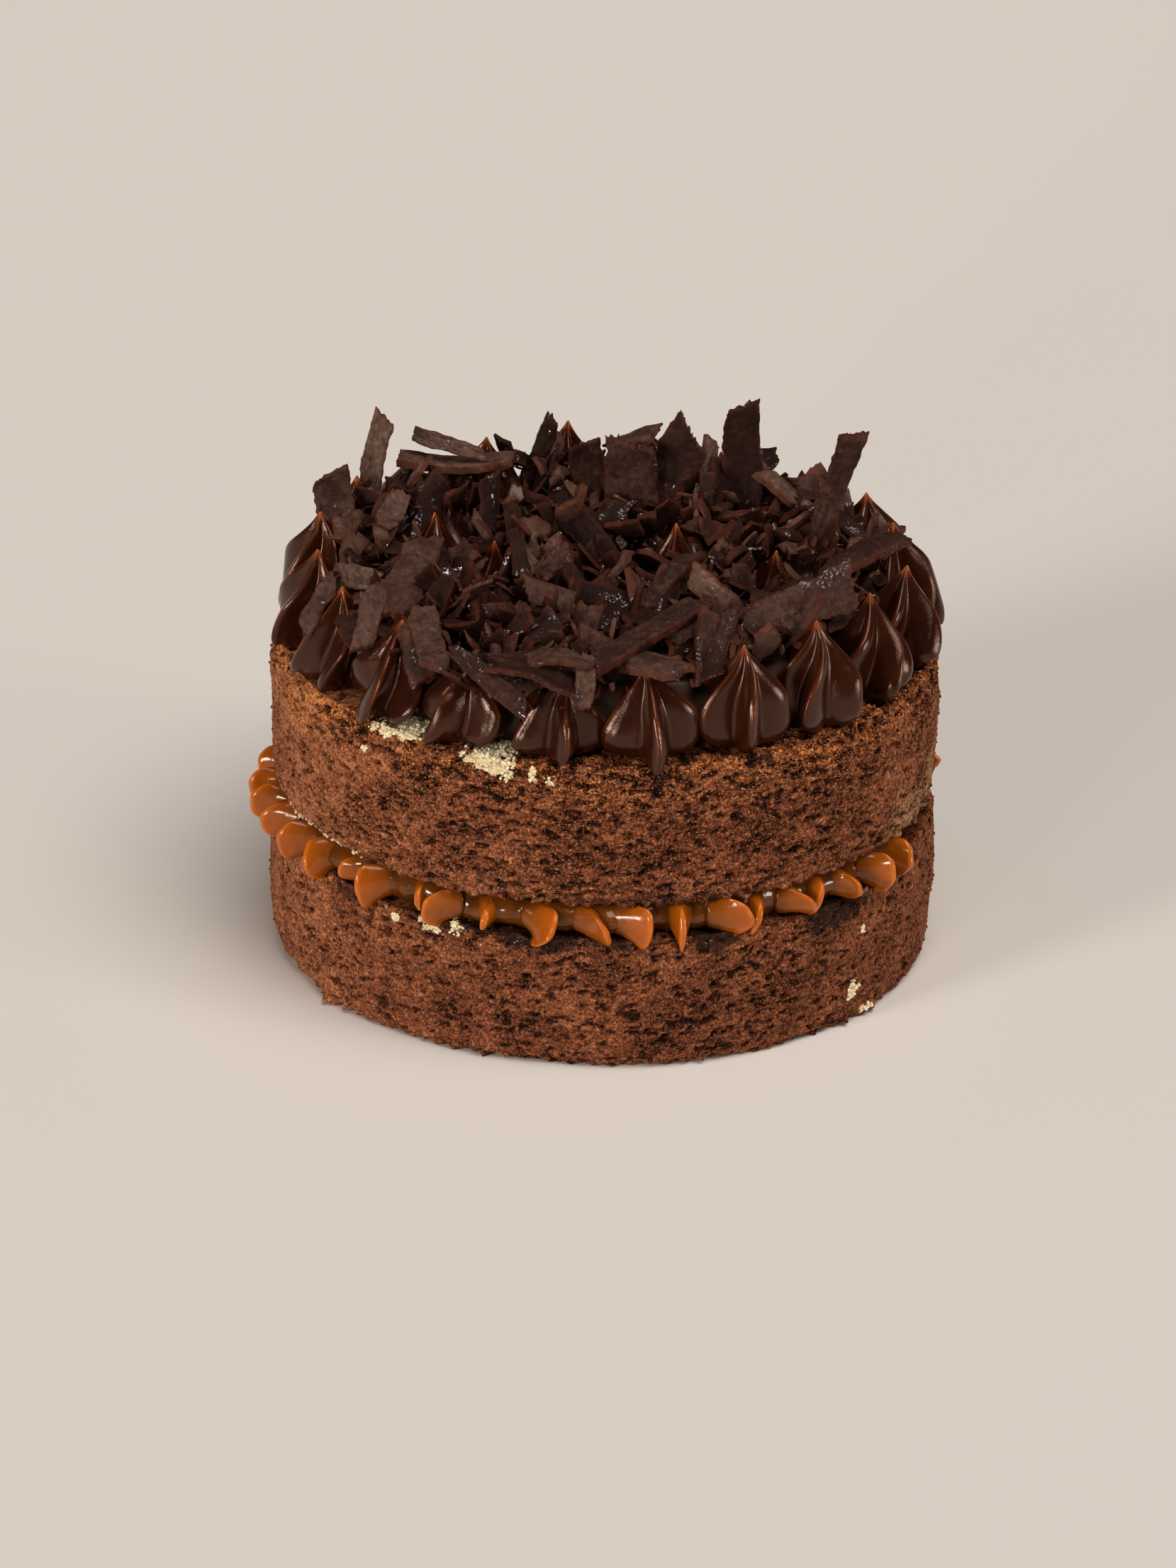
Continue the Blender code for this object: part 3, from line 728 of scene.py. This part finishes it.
def makeCaramelFin(number, angle, turn, reach, tall, sag, slant):
    # An upright blade, broad at its root and thin at its ridge, which arcs back at top and bottom
    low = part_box("lower_sponge")[1].z
    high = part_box("upper_sponge")[0].z
    inside = (high - low) / 2 - filling["gap"]
    root = around(angle, filling["root"], (low + high) / 2)
    outward = around(angle + turn, 1, 0)
    across = around(angle + turn + 90, 1, 0)
    fate = random.Random(number + 60)
    arc = fate.uniform(*filling["arc"])
    curl = fate.uniform(-filling["curl"], filling["curl"]) * mm
    points = []
    edges = []
    for row in range(filling["rows"]):
        share = 1 - (1 - row / (filling["rows"] - 1)) ** 1.5
        rounding = math.sqrt(max(0, 1 - max(0, (share - 0.92) / 0.08) ** 2))
        half = mixValue(filling["ridgeHalf"], filling["rootHalf"], (1 - share) ** 1.4) * max(rounding, 0.05)
        rise = mixValue(inside, tall * mm, share ** 1.15)
        for side in range(filling["sides"]):
            spin = 2 * math.pi * side / filling["sides"]
            level = math.sin(spin)
            wobble = noise.noise(Vector((share * 2, level * 1.6, number * 3.1)))
            far = reach * mm * share * (1 - arc * (1 - abs(math.cos(spin))) + 0.08 * wobble)
            aside = half * math.cos(spin) + curl * share * share + slant * mm * level * share
            place = root + far * outward + aside * across
            place.z += rise * level * (1 + 0.08 * wobble) - sag * mm * share ** 1.5
            points.append(place)
            # painted glow and shade: lighter toward the thin ridge, darker at the root's top and bottom
            # where it meets the sponges
            thin = 0.16 + 0.34 * share + 0.22 * ease(0.85, 1.0, share)
            edges.append(thin - 0.1 * abs(level) * (1 - share))
    piece = makeMesh(f"caramelFin{number}", points, solidFaces(filling["rows"], filling["sides"]))
    paint(piece, "edge", edges)
    return piece


def makeCaramel():
    draw = random.Random(8)
    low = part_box("lower_sponge")[1].z + filling["gap"]
    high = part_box("upper_sponge")[0].z - filling["gap"]
    start, end = filling["bare"]
    sides = filling["coreSides"]
    rows = filling["coreRows"]
    points = []
    for row in range(rows):
        level = row / (rows - 1)
        for side in range(sides):
            turn = 360 * side / sides
            wave = noise.noise(around(turn, 9, level)) + noise.noise(around(turn, 22, level))
            deep = ease(start - 2, start + 4, turn) * ease(end + 4, end - 4, turn)
            swell = (2.2 * math.sin(math.pi * level) + 1.3 * wave - 7 * deep) * mm
            points.append(around(turn, filling["core"] + swell, mixValue(low, high, level)))
    core = makeMesh("caramelCore", points, solidFaces(rows, sides))
    # painted shade: the core, recessed between the sponges, is painted darkest
    paint(core, "edge", [0.08] * len(points))
    fins = list(caramelFins)
    angle = end
    while angle < 360 + caramelFins[0][0] - 5:      # the rest goes on round the back
        fins.append((angle, draw.uniform(-48, 48), draw.uniform(6.4, 9.4), draw.uniform(2.8, 4.9),
                     draw.uniform(0.3, 1.6), draw.uniform(-1.8, 1.8)))
        angle += filling["spacing"] * draw.uniform(0.8, 1.2)
    pieces = [core] + [makeCaramelFin(number, *fin) for number, fin in enumerate(fins)]
    piece = joinMeshes("caramelFilling", pieces)
    piece.data.materials.append(caramel)
    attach(piece, "root")
    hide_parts("caramel_filling")


makeCaramel()
print("caramel ready")


# Heap of broken chocolate

towardFront = Vector((0, -0.91, 0.42))
upward = Vector((0.1, -0.1, 1))
slanted = Vector((0.1, -0.75, 0.65))
heap = {
    "brim": 57 * mm,
    "height": 16 * mm,
    "dish": 3 * mm,
    "seed": 11,
    "shoulder": ((64 * mm, deck), (63.5 * mm, deck + 4 * mm), (61 * mm, deck + 8.5 * mm),
                 (59 * mm, deck + 12 * mm)),
    "bedRows": 90,
    "bedColumns": 240,
    "bedStars": ((1, 0), (7, 22.5), (13, 44)),      # how many, and how far out in mm
    "bedStarRadius": 11 * mm,
    "bedStarHeight": 5.5 * mm,
    "bedDepth": 4.5 * mm,
    "shardColumns": 16,
    "shardRows": 36,
}
largeShards = (   # foot and tip in millimetres, width, and the way the broad side faces
    ((-55, 32, 88), (-51, 32, 109), 5.0, towardFront),
    ((-60, 18, 90), (-62, 18, 101), 8.0, towardFront),
    ((30, 30, 84), (30, 30, 114), 8.0, towardFront),
    ((45, 10, 84), (54, 10, 116), 5.5, towardFront),
    ((13, 31, 86), (17, 33, 108), 10.0, towardFront),
    ((6, 28, 86), (4, 27, 106), 11.0, towardFront),
    ((-3, 32, 86), (-6, 31, 104), 7.0, towardFront),
    ((22, 26, 86), (22, 26, 100), 3.0, towardFront),
    ((-22, 37, 98), (-47, 38, 97), 6.0, upward),
    ((-28, 36, 99), (-44, 40, 102), 3.5, towardFront),
    ((-19, 43, 88), (-13, 43, 105), 4.0, towardFront),
    ((-50, 5, 94), (-46, 18, 97), 5.0, towardFront),
    ((-46, -40, 92), (-41, -9, 96), 8.0, upward),
    ((-60, -28, 96), (-66, -35, 86), 4.0, slanted),
    ((-50, -32, 96), (-53, -48, 88), 5.0, slanted),
    ((-58, -27, 96), (-50, -22, 93), 5.0, slanted),
    ((-40, -42, 95), (-37, -62, 90), 6.5, slanted),
    ((-29, -38, 91), (-16, -44, 92), 8.0, upward),
    ((-25, -64, 93), (-9, -64, 95), 6.0, upward),
    ((-33, -64, 95), (-17, -76, 87), 4.5, slanted),
    ((-17, -66, 93), (-4, -68, 94), 5.0, upward),
    ((-23, -67, 93), (-7, -72, 90), 8.0, upward),
    ((-4, -66, 95), (-5, -75, 87), 4.0, slanted),
    ((-12, -15, 86), (-13, -15, 97), 6.0, towardFront),
    ((-19, -12, 90), (-22, 11, 97), 4.0, slanted),
    ((8, -33, 92), (19, -15, 97), 4.0, upward),
    ((-2, -68, 94), (20, -41, 97), 6.0, upward),
    ((13, -50, 93), (24, -40, 96), 6.0, slanted),
    ((4, -62, 92), (17, -67, 92), 8.0, upward),
    ((26, -46, 97), (23, -60, 88), 5.0, slanted),
    ((29, -46, 92), (53, -30, 97), 9.5, towardFront),
    ((47, -21, 95), (64, -5, 98), 6.0, upward),
    ((32, -29, 93), (45, -23, 95), 5.0, upward),
    ((36, 35, 91), (48, 28, 96), 6.0, towardFront),
    ((24, 1, 90), (29, -4, 94), 4.0, upward),
)


def heapHeight(x, y):
    distance = math.hypot(x, y) / heap["brim"]
    lumps = noise.noise(Vector((x / (13 * mm), y / (13 * mm), heap["seed"])))
    dish = heap["dish"] * ease(0.35, 0.8, distance) - 1.5 * mm * ease(0.85, 1.0, distance)
    return deck + heap["height"] + dish + 1.5 * mm * lumps


def brokenPlate(length, width, thickness, curl, columns, rows, draw):
    # A torn plate lying along X, broad face up: points, faces, how near the rim, and a flat map in mm
    stations = 5
    halves = [draw.uniform(0.8, 1.0) for _ in range(stations)]
    halves[draw.choice((0, -1))] *= draw.uniform(0.45, 1.0)
    shifts = [draw.uniform(-0.06, 0.06) for _ in range(stations)]
    slants = [draw.uniform(-0.35, 0.35) for _ in range(2)]
    wedge = draw.uniform(-0.45, 0.45)
    cup = draw.uniform(-0.06, 0.10) * width
    offset = Vector([draw.uniform(-50, 50) for _ in range(3)])

    def stationValue(values, share):
        spot = clamp(share, 0, 0.9999) * (stations - 1)
        index = int(spot)
        return mixValue(values[index], values[index + 1], spot - index)

    points = []
    edges = []
    flat = []
    for shell in (0.5, -0.5):
        for row in range(rows + 1):
            share = row / rows
            for column in range(columns + 1):
                across = 2 * column / columns - 1
                rim = abs(across) == 1 or row in (0, rows)
                key = Vector((share * length, across * width, 0)) / (1.6 * mm) + offset
                jag = noise.noise(key) + 0.6 * noise.noise(key * 2.3)
                slant = mixValue(slants[0], slants[1], share)
                x = (share - 0.5) * length + width * across * slant * abs(2 * share - 1) ** 2
                y = width * (stationValue(shifts, share) + across * stationValue(halves, share) / 2)
                if row in (0, rows):
                    x += 0.10 * width * jag
                if abs(across) == 1:
                    y += 0.05 * width * jag * across
                groove = 0.04 * thickness * noise.noise(Vector((key.x * 0.3, key.y * 2.4, key.z)))
                terrace = noise.noise(Vector((key.x * 0.4, key.y * 0.8, key.z + 9)))
                step = 0.09 * thickness * round(1.6 * terrace)
                pit = 0.14 * thickness * ease(0.2, 0.5, noise.noise(key * 1.3 + Vector((5, 5, shell))))
                z = curl * (1 - (2 * share - 1) ** 2) + cup * (1 - across * across) + groove
                z += step * (shell > 0)
                z -= pit * 2 * shell
                z += shell * thickness * (1 + wedge * across) * (0.7 if rim else 1.0)
                points.append(Vector((x, y, z)))
                edges.append(1.0 if rim else 0.0)
                flat.append((x / mm, y / mm))
    wide = columns + 1
    back = wide * (rows + 1)
    faces = []
    for row in range(rows):
        for column in range(columns):
            first = row * wide + column
            faces.append((first + 1, first + wide + 1, first + wide, first))
            first += back
            faces.append((first + wide, first + wide + 1, first + 1, first))
    for row in range(rows):
        left = row * wide
        right = left + columns
        faces.append((left + wide + back, left + back, left, left + wide))
        faces.append((right + back, right + wide + back, right + wide, right))
    for column in range(columns):
        far = rows * wide + column
        faces.append((column + back, column + 1 + back, column + 1, column))
        faces.append((far + 1 + back, far + back, far, far + 1))
    return points, faces, edges, flat


def makeFlake(name, length, width, thickness, curl, columns, rows, draw, turned=None, luck=None):
    points, faces, edges, flat = brokenPlate(length, width, thickness, curl, columns, rows, draw)
    if turned:
        points = [turned @ point for point in points]
    piece = makeMesh(name, points, faces)
    mesh = piece.data
    mesh.set_sharp_from_angle(angle=math.radians(45))
    paint(piece, "edge", edges)
    if luck is not None:
        paint(piece, "luck", [luck] * len(points))
    chart = mesh.uv_layers.new(name="grain")
    offset = Vector((draw.uniform(0, 90), draw.uniform(0, 90)))
    spots = [(Vector(flat[loop.vertex_index]) + offset) * mm for loop in mesh.loops]
    chart.data.foreach_set("uv", [number for spot in spots for number in spot])
    return piece


def makeHeapBed():
    # What shows between the flakes: ganache stars piped close together, seen from above
    columns = heap["bedColumns"]
    rows = heap["bedRows"]
    centres = []
    for count, distance in heap["bedStars"]:
        for index in range(count):
            centres.append(around(360 * index / count + distance, distance * mm, 0))
    points = []
    edges = []
    for row in range(rows):
        distance = heap["brim"] * (1 - row / rows)
        for column in range(columns):
            flat = around(360 * column / columns, distance, 0)
            nearest = min(centres, key=lambda centre: (centre - flat).length)
            gap = (nearest - flat).length / heap["bedStarRadius"]
            turn = math.atan2(flat.y - nearest.y, flat.x - nearest.x)
            fold = 0.55 + 0.45 * abs(math.cos(2.5 * turn + nearest.x * 90))
            swell = clamp(1 - gap / fold)
            height = heapHeight(flat.x, flat.y) - heap["bedDepth"] + heap["bedStarHeight"] * swell ** 0.8
            points.append(Vector((flat.x, flat.y, height)))
            # painted glow: the tops of the little stars are painted lighter
            edges.append(0.5 * ease(0.75, 1.0, swell))
    skirt = []
    for radius, height in heap["shoulder"]:
        for column in range(columns):
            wave = 1.2 * mm * noise.noise(around(360 * column / columns, 9, height / (4 * mm)))
            skirt.append(around(360 * column / columns, radius + wave, height))
    points = skirt + points
    edges = [0.0] * len(skirt) + edges
    piece = makeMesh("ganacheBed", points, solidFaces(rows + len(heap["shoulder"]), columns))
    paint(piece, "edge", edges)
    paint(piece, "dull", [1.0] * len(skirt) + [0.25] * (len(points) - len(skirt)))
    piece.data.materials.append(ganache)
    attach(piece, "root")


def makeLargeShards():
    draw = random.Random(heap["seed"])
    pieces = []
    for number, (foot, tip, width, facing) in enumerate(largeShards):
        paler = 0.25 * ease(-15, -45, tip[0])      # paler toward the left of the heap
        foot = Vector(foot) * mm
        along = Vector(tip) * mm - foot
        side = facing.cross(along).normalized()
        face = along.cross(side).normalized()
        turned = Matrix((along.normalized(), side, face)).transposed().to_4x4()
        turned.translation = foot + along / 2
        thickness = draw.uniform(1.3, 2.2) * mm
        curl = draw.uniform(-1.8, 1.8) * mm
        luck = draw.uniform(0.15, 0.75) + paler
        pieces.append(makeFlake(f"shard{number}", along.length * 1.04, width * 1.15 * mm, thickness, curl,
                                heap["shardColumns"], heap["shardRows"], draw, turned, luck))
    piece = joinMeshes("largeShards", pieces)
    finishFlakes(piece)


def finishFlakes(piece):
    piece.data.materials.clear()
    piece.data.materials.append(chocolate)
    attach(piece, "root")
    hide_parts("chocolate_shavings")
    print(piece.name, "has", len(piece.data.polygons), "faces")


# Geometry Nodes: small pieces strewn over a surface, thickest where its cover is painted

def makeScatterTree(name, coverName):
    tree = bpy.data.node_groups.new(name, "GeometryNodeTree")
    for label, kind in (("Geometry", "Geometry"), ("Pieces", "Collection"), ("Material", "Material"),
                        ("Spacing", "Float"), ("Density", "Float"), ("Smallest", "Float"),
                        ("Largest", "Float"), ("Tilt", "Float"), ("Lift", "Float"), ("Seed", "Int")):
        tree.interface.new_socket(label, in_out="INPUT", socket_type="NodeSocket" + kind)
    tree.interface.new_socket("Geometry", in_out="OUTPUT", socket_type="NodeSocketGeometry")
    maker = TreeMaker(tree)
    entry = tree.nodes.new("NodeGroupInput")
    given = {socket.name: Reading(maker, socket) for socket in entry.outputs if socket.name}
    add = maker.add

    def anyNumber(low, high, step):
        seed = given["Seed"] + step
        return add("FunctionNodeRandomValue", {"data_type": "FLOAT"}, {2: low, 3: high, "Seed": seed}, 1)

    cover = add("GeometryNodeInputNamedAttribute", {"data_type": "FLOAT"}, {"Name": coverName})
    spread = add("GeometryNodeDistributePointsOnFaces", {"distribute_method": "POISSON"},
                 {"Mesh": given["Geometry"], "Distance Min": given["Spacing"],
                  "Density Max": given["Density"], "Density Factor": cover, "Seed": given["Seed"]})
    lowest = add("ShaderNodeCombineXYZ", {}, {0: 0 - given["Tilt"], 1: 0 - given["Tilt"], 2: 0.0})
    highest = add("ShaderNodeCombineXYZ", {}, {0: given["Tilt"], 1: given["Tilt"], 2: 2 * math.pi})
    wild = add("FunctionNodeRandomValue", {"data_type": "FLOAT_VECTOR"},
               {0: lowest, 1: highest, "Seed": given["Seed"]})
    turned = add("FunctionNodeEulerToRotation", {}, {0: wild})
    kinds = add("GeometryNodeCollectionInfo", {}, {"Collection": given["Pieces"], "Separate Children": True,
                                                   "Reset Children": True})
    sizes = anyNumber(given["Smallest"], given["Largest"], 5)
    placed = add("GeometryNodeInstanceOnPoints", {}, {"Points": spread, "Instance": kinds,
                                                      "Pick Instance": True, "Rotation": turned,
                                                      "Scale": sizes})
    upward = add("ShaderNodeCombineXYZ", {}, {2: anyNumber(0.0, given["Lift"], 9)})
    lifted = add("GeometryNodeTranslateInstances", {}, {"Instances": placed, "Translation": upward,
                                                        "Local Space": False})
    marked = add("GeometryNodeStoreNamedAttribute", {"data_type": "FLOAT", "domain": "INSTANCE"},
                 {"Geometry": lifted, "Name": "luck", "Value": anyNumber(0.0, 1.0, 2)})
    real = add("GeometryNodeRealizeInstances", {}, {0: marked})
    dressed = add("GeometryNodeSetMaterial", {}, {"Geometry": real, "Material": given["Material"]})
    leave = tree.nodes.new("NodeGroupOutput")
    maker.feed(leave.inputs[0], dressed)
    return tree


def strew(tree, guide, name, shapes, material, numbers):   # the result is a plain mesh
    group = bpy.data.collections.new(name)
    for shape in shapes:
        scene.collection.objects.unlink(shape)
        group.objects.link(shape)
    spacing, density, smallest, largest, tilt, lift, seed = numbers      # spacing and lift in mm
    settings = {"Pieces": group, "Material": material, "Spacing": spacing * mm, "Density": density,
                "Smallest": smallest, "Largest": largest, "Tilt": tilt, "Lift": lift * mm, "Seed": seed}
    modifier = guide.modifiers.new(name, "NODES")
    modifier.node_group = tree
    for item in tree.interface.items_tree:
        if item.in_out == "INPUT" and item.name in settings:
            modifier[item.identifier] = settings[item.name]
    evaluated = guide.evaluated_get(bpy.context.evaluated_depsgraph_get())
    mesh = bpy.data.meshes.new_from_object(evaluated)
    guide.modifiers.clear()
    mesh.name = name
    piece = placeMesh(name, mesh)
    for shape in shapes:
        bpy.data.objects.remove(shape)
    bpy.data.collections.remove(group)
    return piece


def heapSurface(x, y):   # level on which flakes lie, out over the stars' shoulders
    distance = math.hypot(x, y)
    inside = heapHeight(x, y)
    over = deck + 18 * mm - 0.6 * max(0, distance - 60 * mm)
    return mixValue(inside, over, ease(54 * mm, 62 * mm, distance))


def heapCover(x, y):   # dense in the middle, bare round the inner stars, fuller at the front left
    distance = math.hypot(x, y)
    angle = angleOf(x, y)
    frontLeft = ease(55, 20, angleGap(angle, -28))
    rim = (62 + 8 * frontLeft + 4 * noise.noise(Vector((x, y, 0)) / (13 * mm))) * mm
    thick = ease(rim + 2 * mm, rim - 5 * mm, distance)
    for starX, starY in stars["inner"]:
        away = math.hypot(x / mm - starX, (y / mm - starY + 3) * 0.8)
        thick *= mixValue(1, 0.05, ease(10, 6, away))
    return clamp(thick)


def makeHeapGuide():
    rows = 60
    columns = 150
    points = []
    cover = []
    for row in range(rows):
        distance = mixValue(0.5 * mm, 72 * mm, row / (rows - 1))
        for column in range(columns):
            flat = around(360 * column / columns, distance, 0)
            points.append(Vector((flat.x, flat.y, heapSurface(flat.x, flat.y))))
            cover.append(heapCover(flat.x, flat.y))
    guide = makeMesh("heapGuide", points, ringFaces(rows, columns))
    paint(guide, "cover", cover)
    return guide


flakeKinds = (   # name, variants, length, width and thickness in mm, columns, rows, numbers for strew
    ("broadFlakes", 16, 13, 6.4, 1.6, 7, 12, (4.4, 30000.0, 0.55, 1.25, 1.15, 3.6, 3)),
    ("middleFlakes", 14, 7.5, 3.8, 1.1, 4, 7, (3.6, 50000.0, 0.5, 1.2, 1.3, 2.2, 7)),
    ("smallFlakes", 10, 3.2, 1.8, 0.7, 2, 3, (2.1, 150000.0, 0.35, 1.15, 1.4, 0.6, 12)),
)


def makeFlakes():
    tree = makeScatterTree("strewnFlakes", "cover")
    guide = makeHeapGuide()
    draw = random.Random(21)
    for name, variants, length, width, thickness, columns, rows, numbers in flakeKinds:
        shapes = []
        for number in range(variants):
            long = length * draw.uniform(0.7, 1.15) * mm
            shapes.append(makeFlake(f"{name}{number}", long, width * draw.uniform(0.65, 1.25) * mm,
                                    thickness * draw.uniform(0.7, 1.2) * mm, draw.uniform(-0.1, 0.1) * long,
                                    columns, rows, draw))
        finishFlakes(strew(tree, guide, name, shapes, chocolate, numbers))
    bpy.data.objects.remove(guide)


def makeCrumb(name, size, draw):   # a small rough lump
    builder = bmesh.new()
    bmesh.ops.create_icosphere(builder, subdivisions=1, radius=size / 2)
    for vertex in builder.verts:
        vertex.co *= draw.uniform(0.65, 1.25)
        vertex.co.z *= 0.75
    mesh = bpy.data.meshes.new(name)
    builder.to_mesh(mesh)
    builder.free()
    return placeMesh(name, mesh)


crumbKinds = (   # name, sponge, where it lies, size in mm, finish, numbers for strew
    ("lowerFlour", lowerSponge, "flour", 0.75, flour, (0.42, 4200000.0, 0.5, 1.5, 1.5, 0.0, 14)),
    ("upperFlour", upperSponge, "flour", 0.75, flour, (0.42, 4200000.0, 0.5, 1.5, 1.5, 0.0, 19)),
    ("lowerCrumbs", lowerSponge, "crumbs", 0.85, sponge, (1.05, 380000.0, 0.45, 1.3, 1.5, 0.0, 4)),
    ("upperCrumbs", upperSponge, "crumbs", 0.85, sponge, (1.0, 420000.0, 0.45, 1.35, 1.5, 0.0, 9)),
)


def makeCrumbs():
    draw = random.Random(31)
    for name, layer, cover, size, look, numbers in crumbKinds:
        tree = makeScatterTree("strewn" + name, cover)
        shapes = [makeCrumb(f"{name}{number}", size * mm, draw) for number in range(8)]
        piece = strew(tree, layer, name, shapes, look, numbers)
        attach(piece, "root")
        print(name, "has", len(piece.data.polygons), "faces")


makeHeapBed()
makeLargeShards()
makeFlakes()
makeCrumbs()
print("heap ready")


# Camera, light and floor

camera = {
    "place": (-0.0033, -1.7369, 0.8362),
    "pitch": 65.22,
    "roll": 1.2,
    "lens": 195.3,
}


def makeCamera():
    lens = bpy.data.cameras.new("camera")
    lens.lens = camera["lens"]
    lens.sensor_width = 36
    lens.clip_end = 50
    view = bpy.data.objects.new("camera", lens)
    tilt = Matrix.Rotation(math.radians(camera["pitch"]), 4, "X")
    roll = Matrix.Rotation(math.radians(camera["roll"]), 4, "Z")
    view.matrix_world = Matrix.Translation(camera["place"]) @ tilt @ roll
    scene.collection.objects.link(view)
    scene.camera = view


suns = (   # name, degrees round from the front, height in degrees, strength, softness in degrees, colour
    ("key", -48, 16, 1.6, 14, (1.0, 0.97, 0.93)),
    ("keyRight", -24, 8, 0.7, 9, (1.0, 0.97, 0.93)),
    ("window", 68, 8, 0.85, 15, (1.0, 0.98, 0.95)),
    ("above", 40, 66, 2.2, 44, (1.0, 0.97, 0.94)),
)
room = {"color": (226, 217, 205), "strength": 0.10}


def makeLights():
    for name, angle, height, strength, softness, color in suns:
        lamp = bpy.data.lights.new(name, "SUN")
        lamp.energy = strength
        lamp.angle = math.radians(softness)
        lamp.color = color
        thing = bpy.data.objects.new(name, lamp)
        toward = around(angle, math.cos(math.radians(height)), math.sin(math.radians(height)))
        thing.location = toward
        thing.rotation_euler = toward.to_track_quat("Z", "Y").to_euler()
        scene.collection.objects.link(thing)
    world = bpy.data.worlds.new("room")
    world.use_nodes = True
    background = world.node_tree.nodes["Background"]
    background.inputs["Color"].default_value = (*srgb(*room["color"]), 1)
    background.inputs["Strength"].default_value = room["strength"]
    scene.world = world


def makeFloor():
    size = 6
    level = -0.2 * mm
    corners = [(-size, -size, level), (size, -size, level), (size, size, level), (-size, size, level)]
    floor = makeMesh("floor", corners, [(0, 1, 2, 3)])
    finish = Finish("paleFloor", Roughness=0.6)
    tone = finish.noise(400, 2)
    floor.data.materials.append(finish.wear(
        Base_Color=finish.blend(tone, srgb(226, 217, 208), srgb(230, 222, 214))))


makeCamera()
makeLights()
makeFloor()
scene.view_settings.view_transform = "Standard"
print("stage ready")
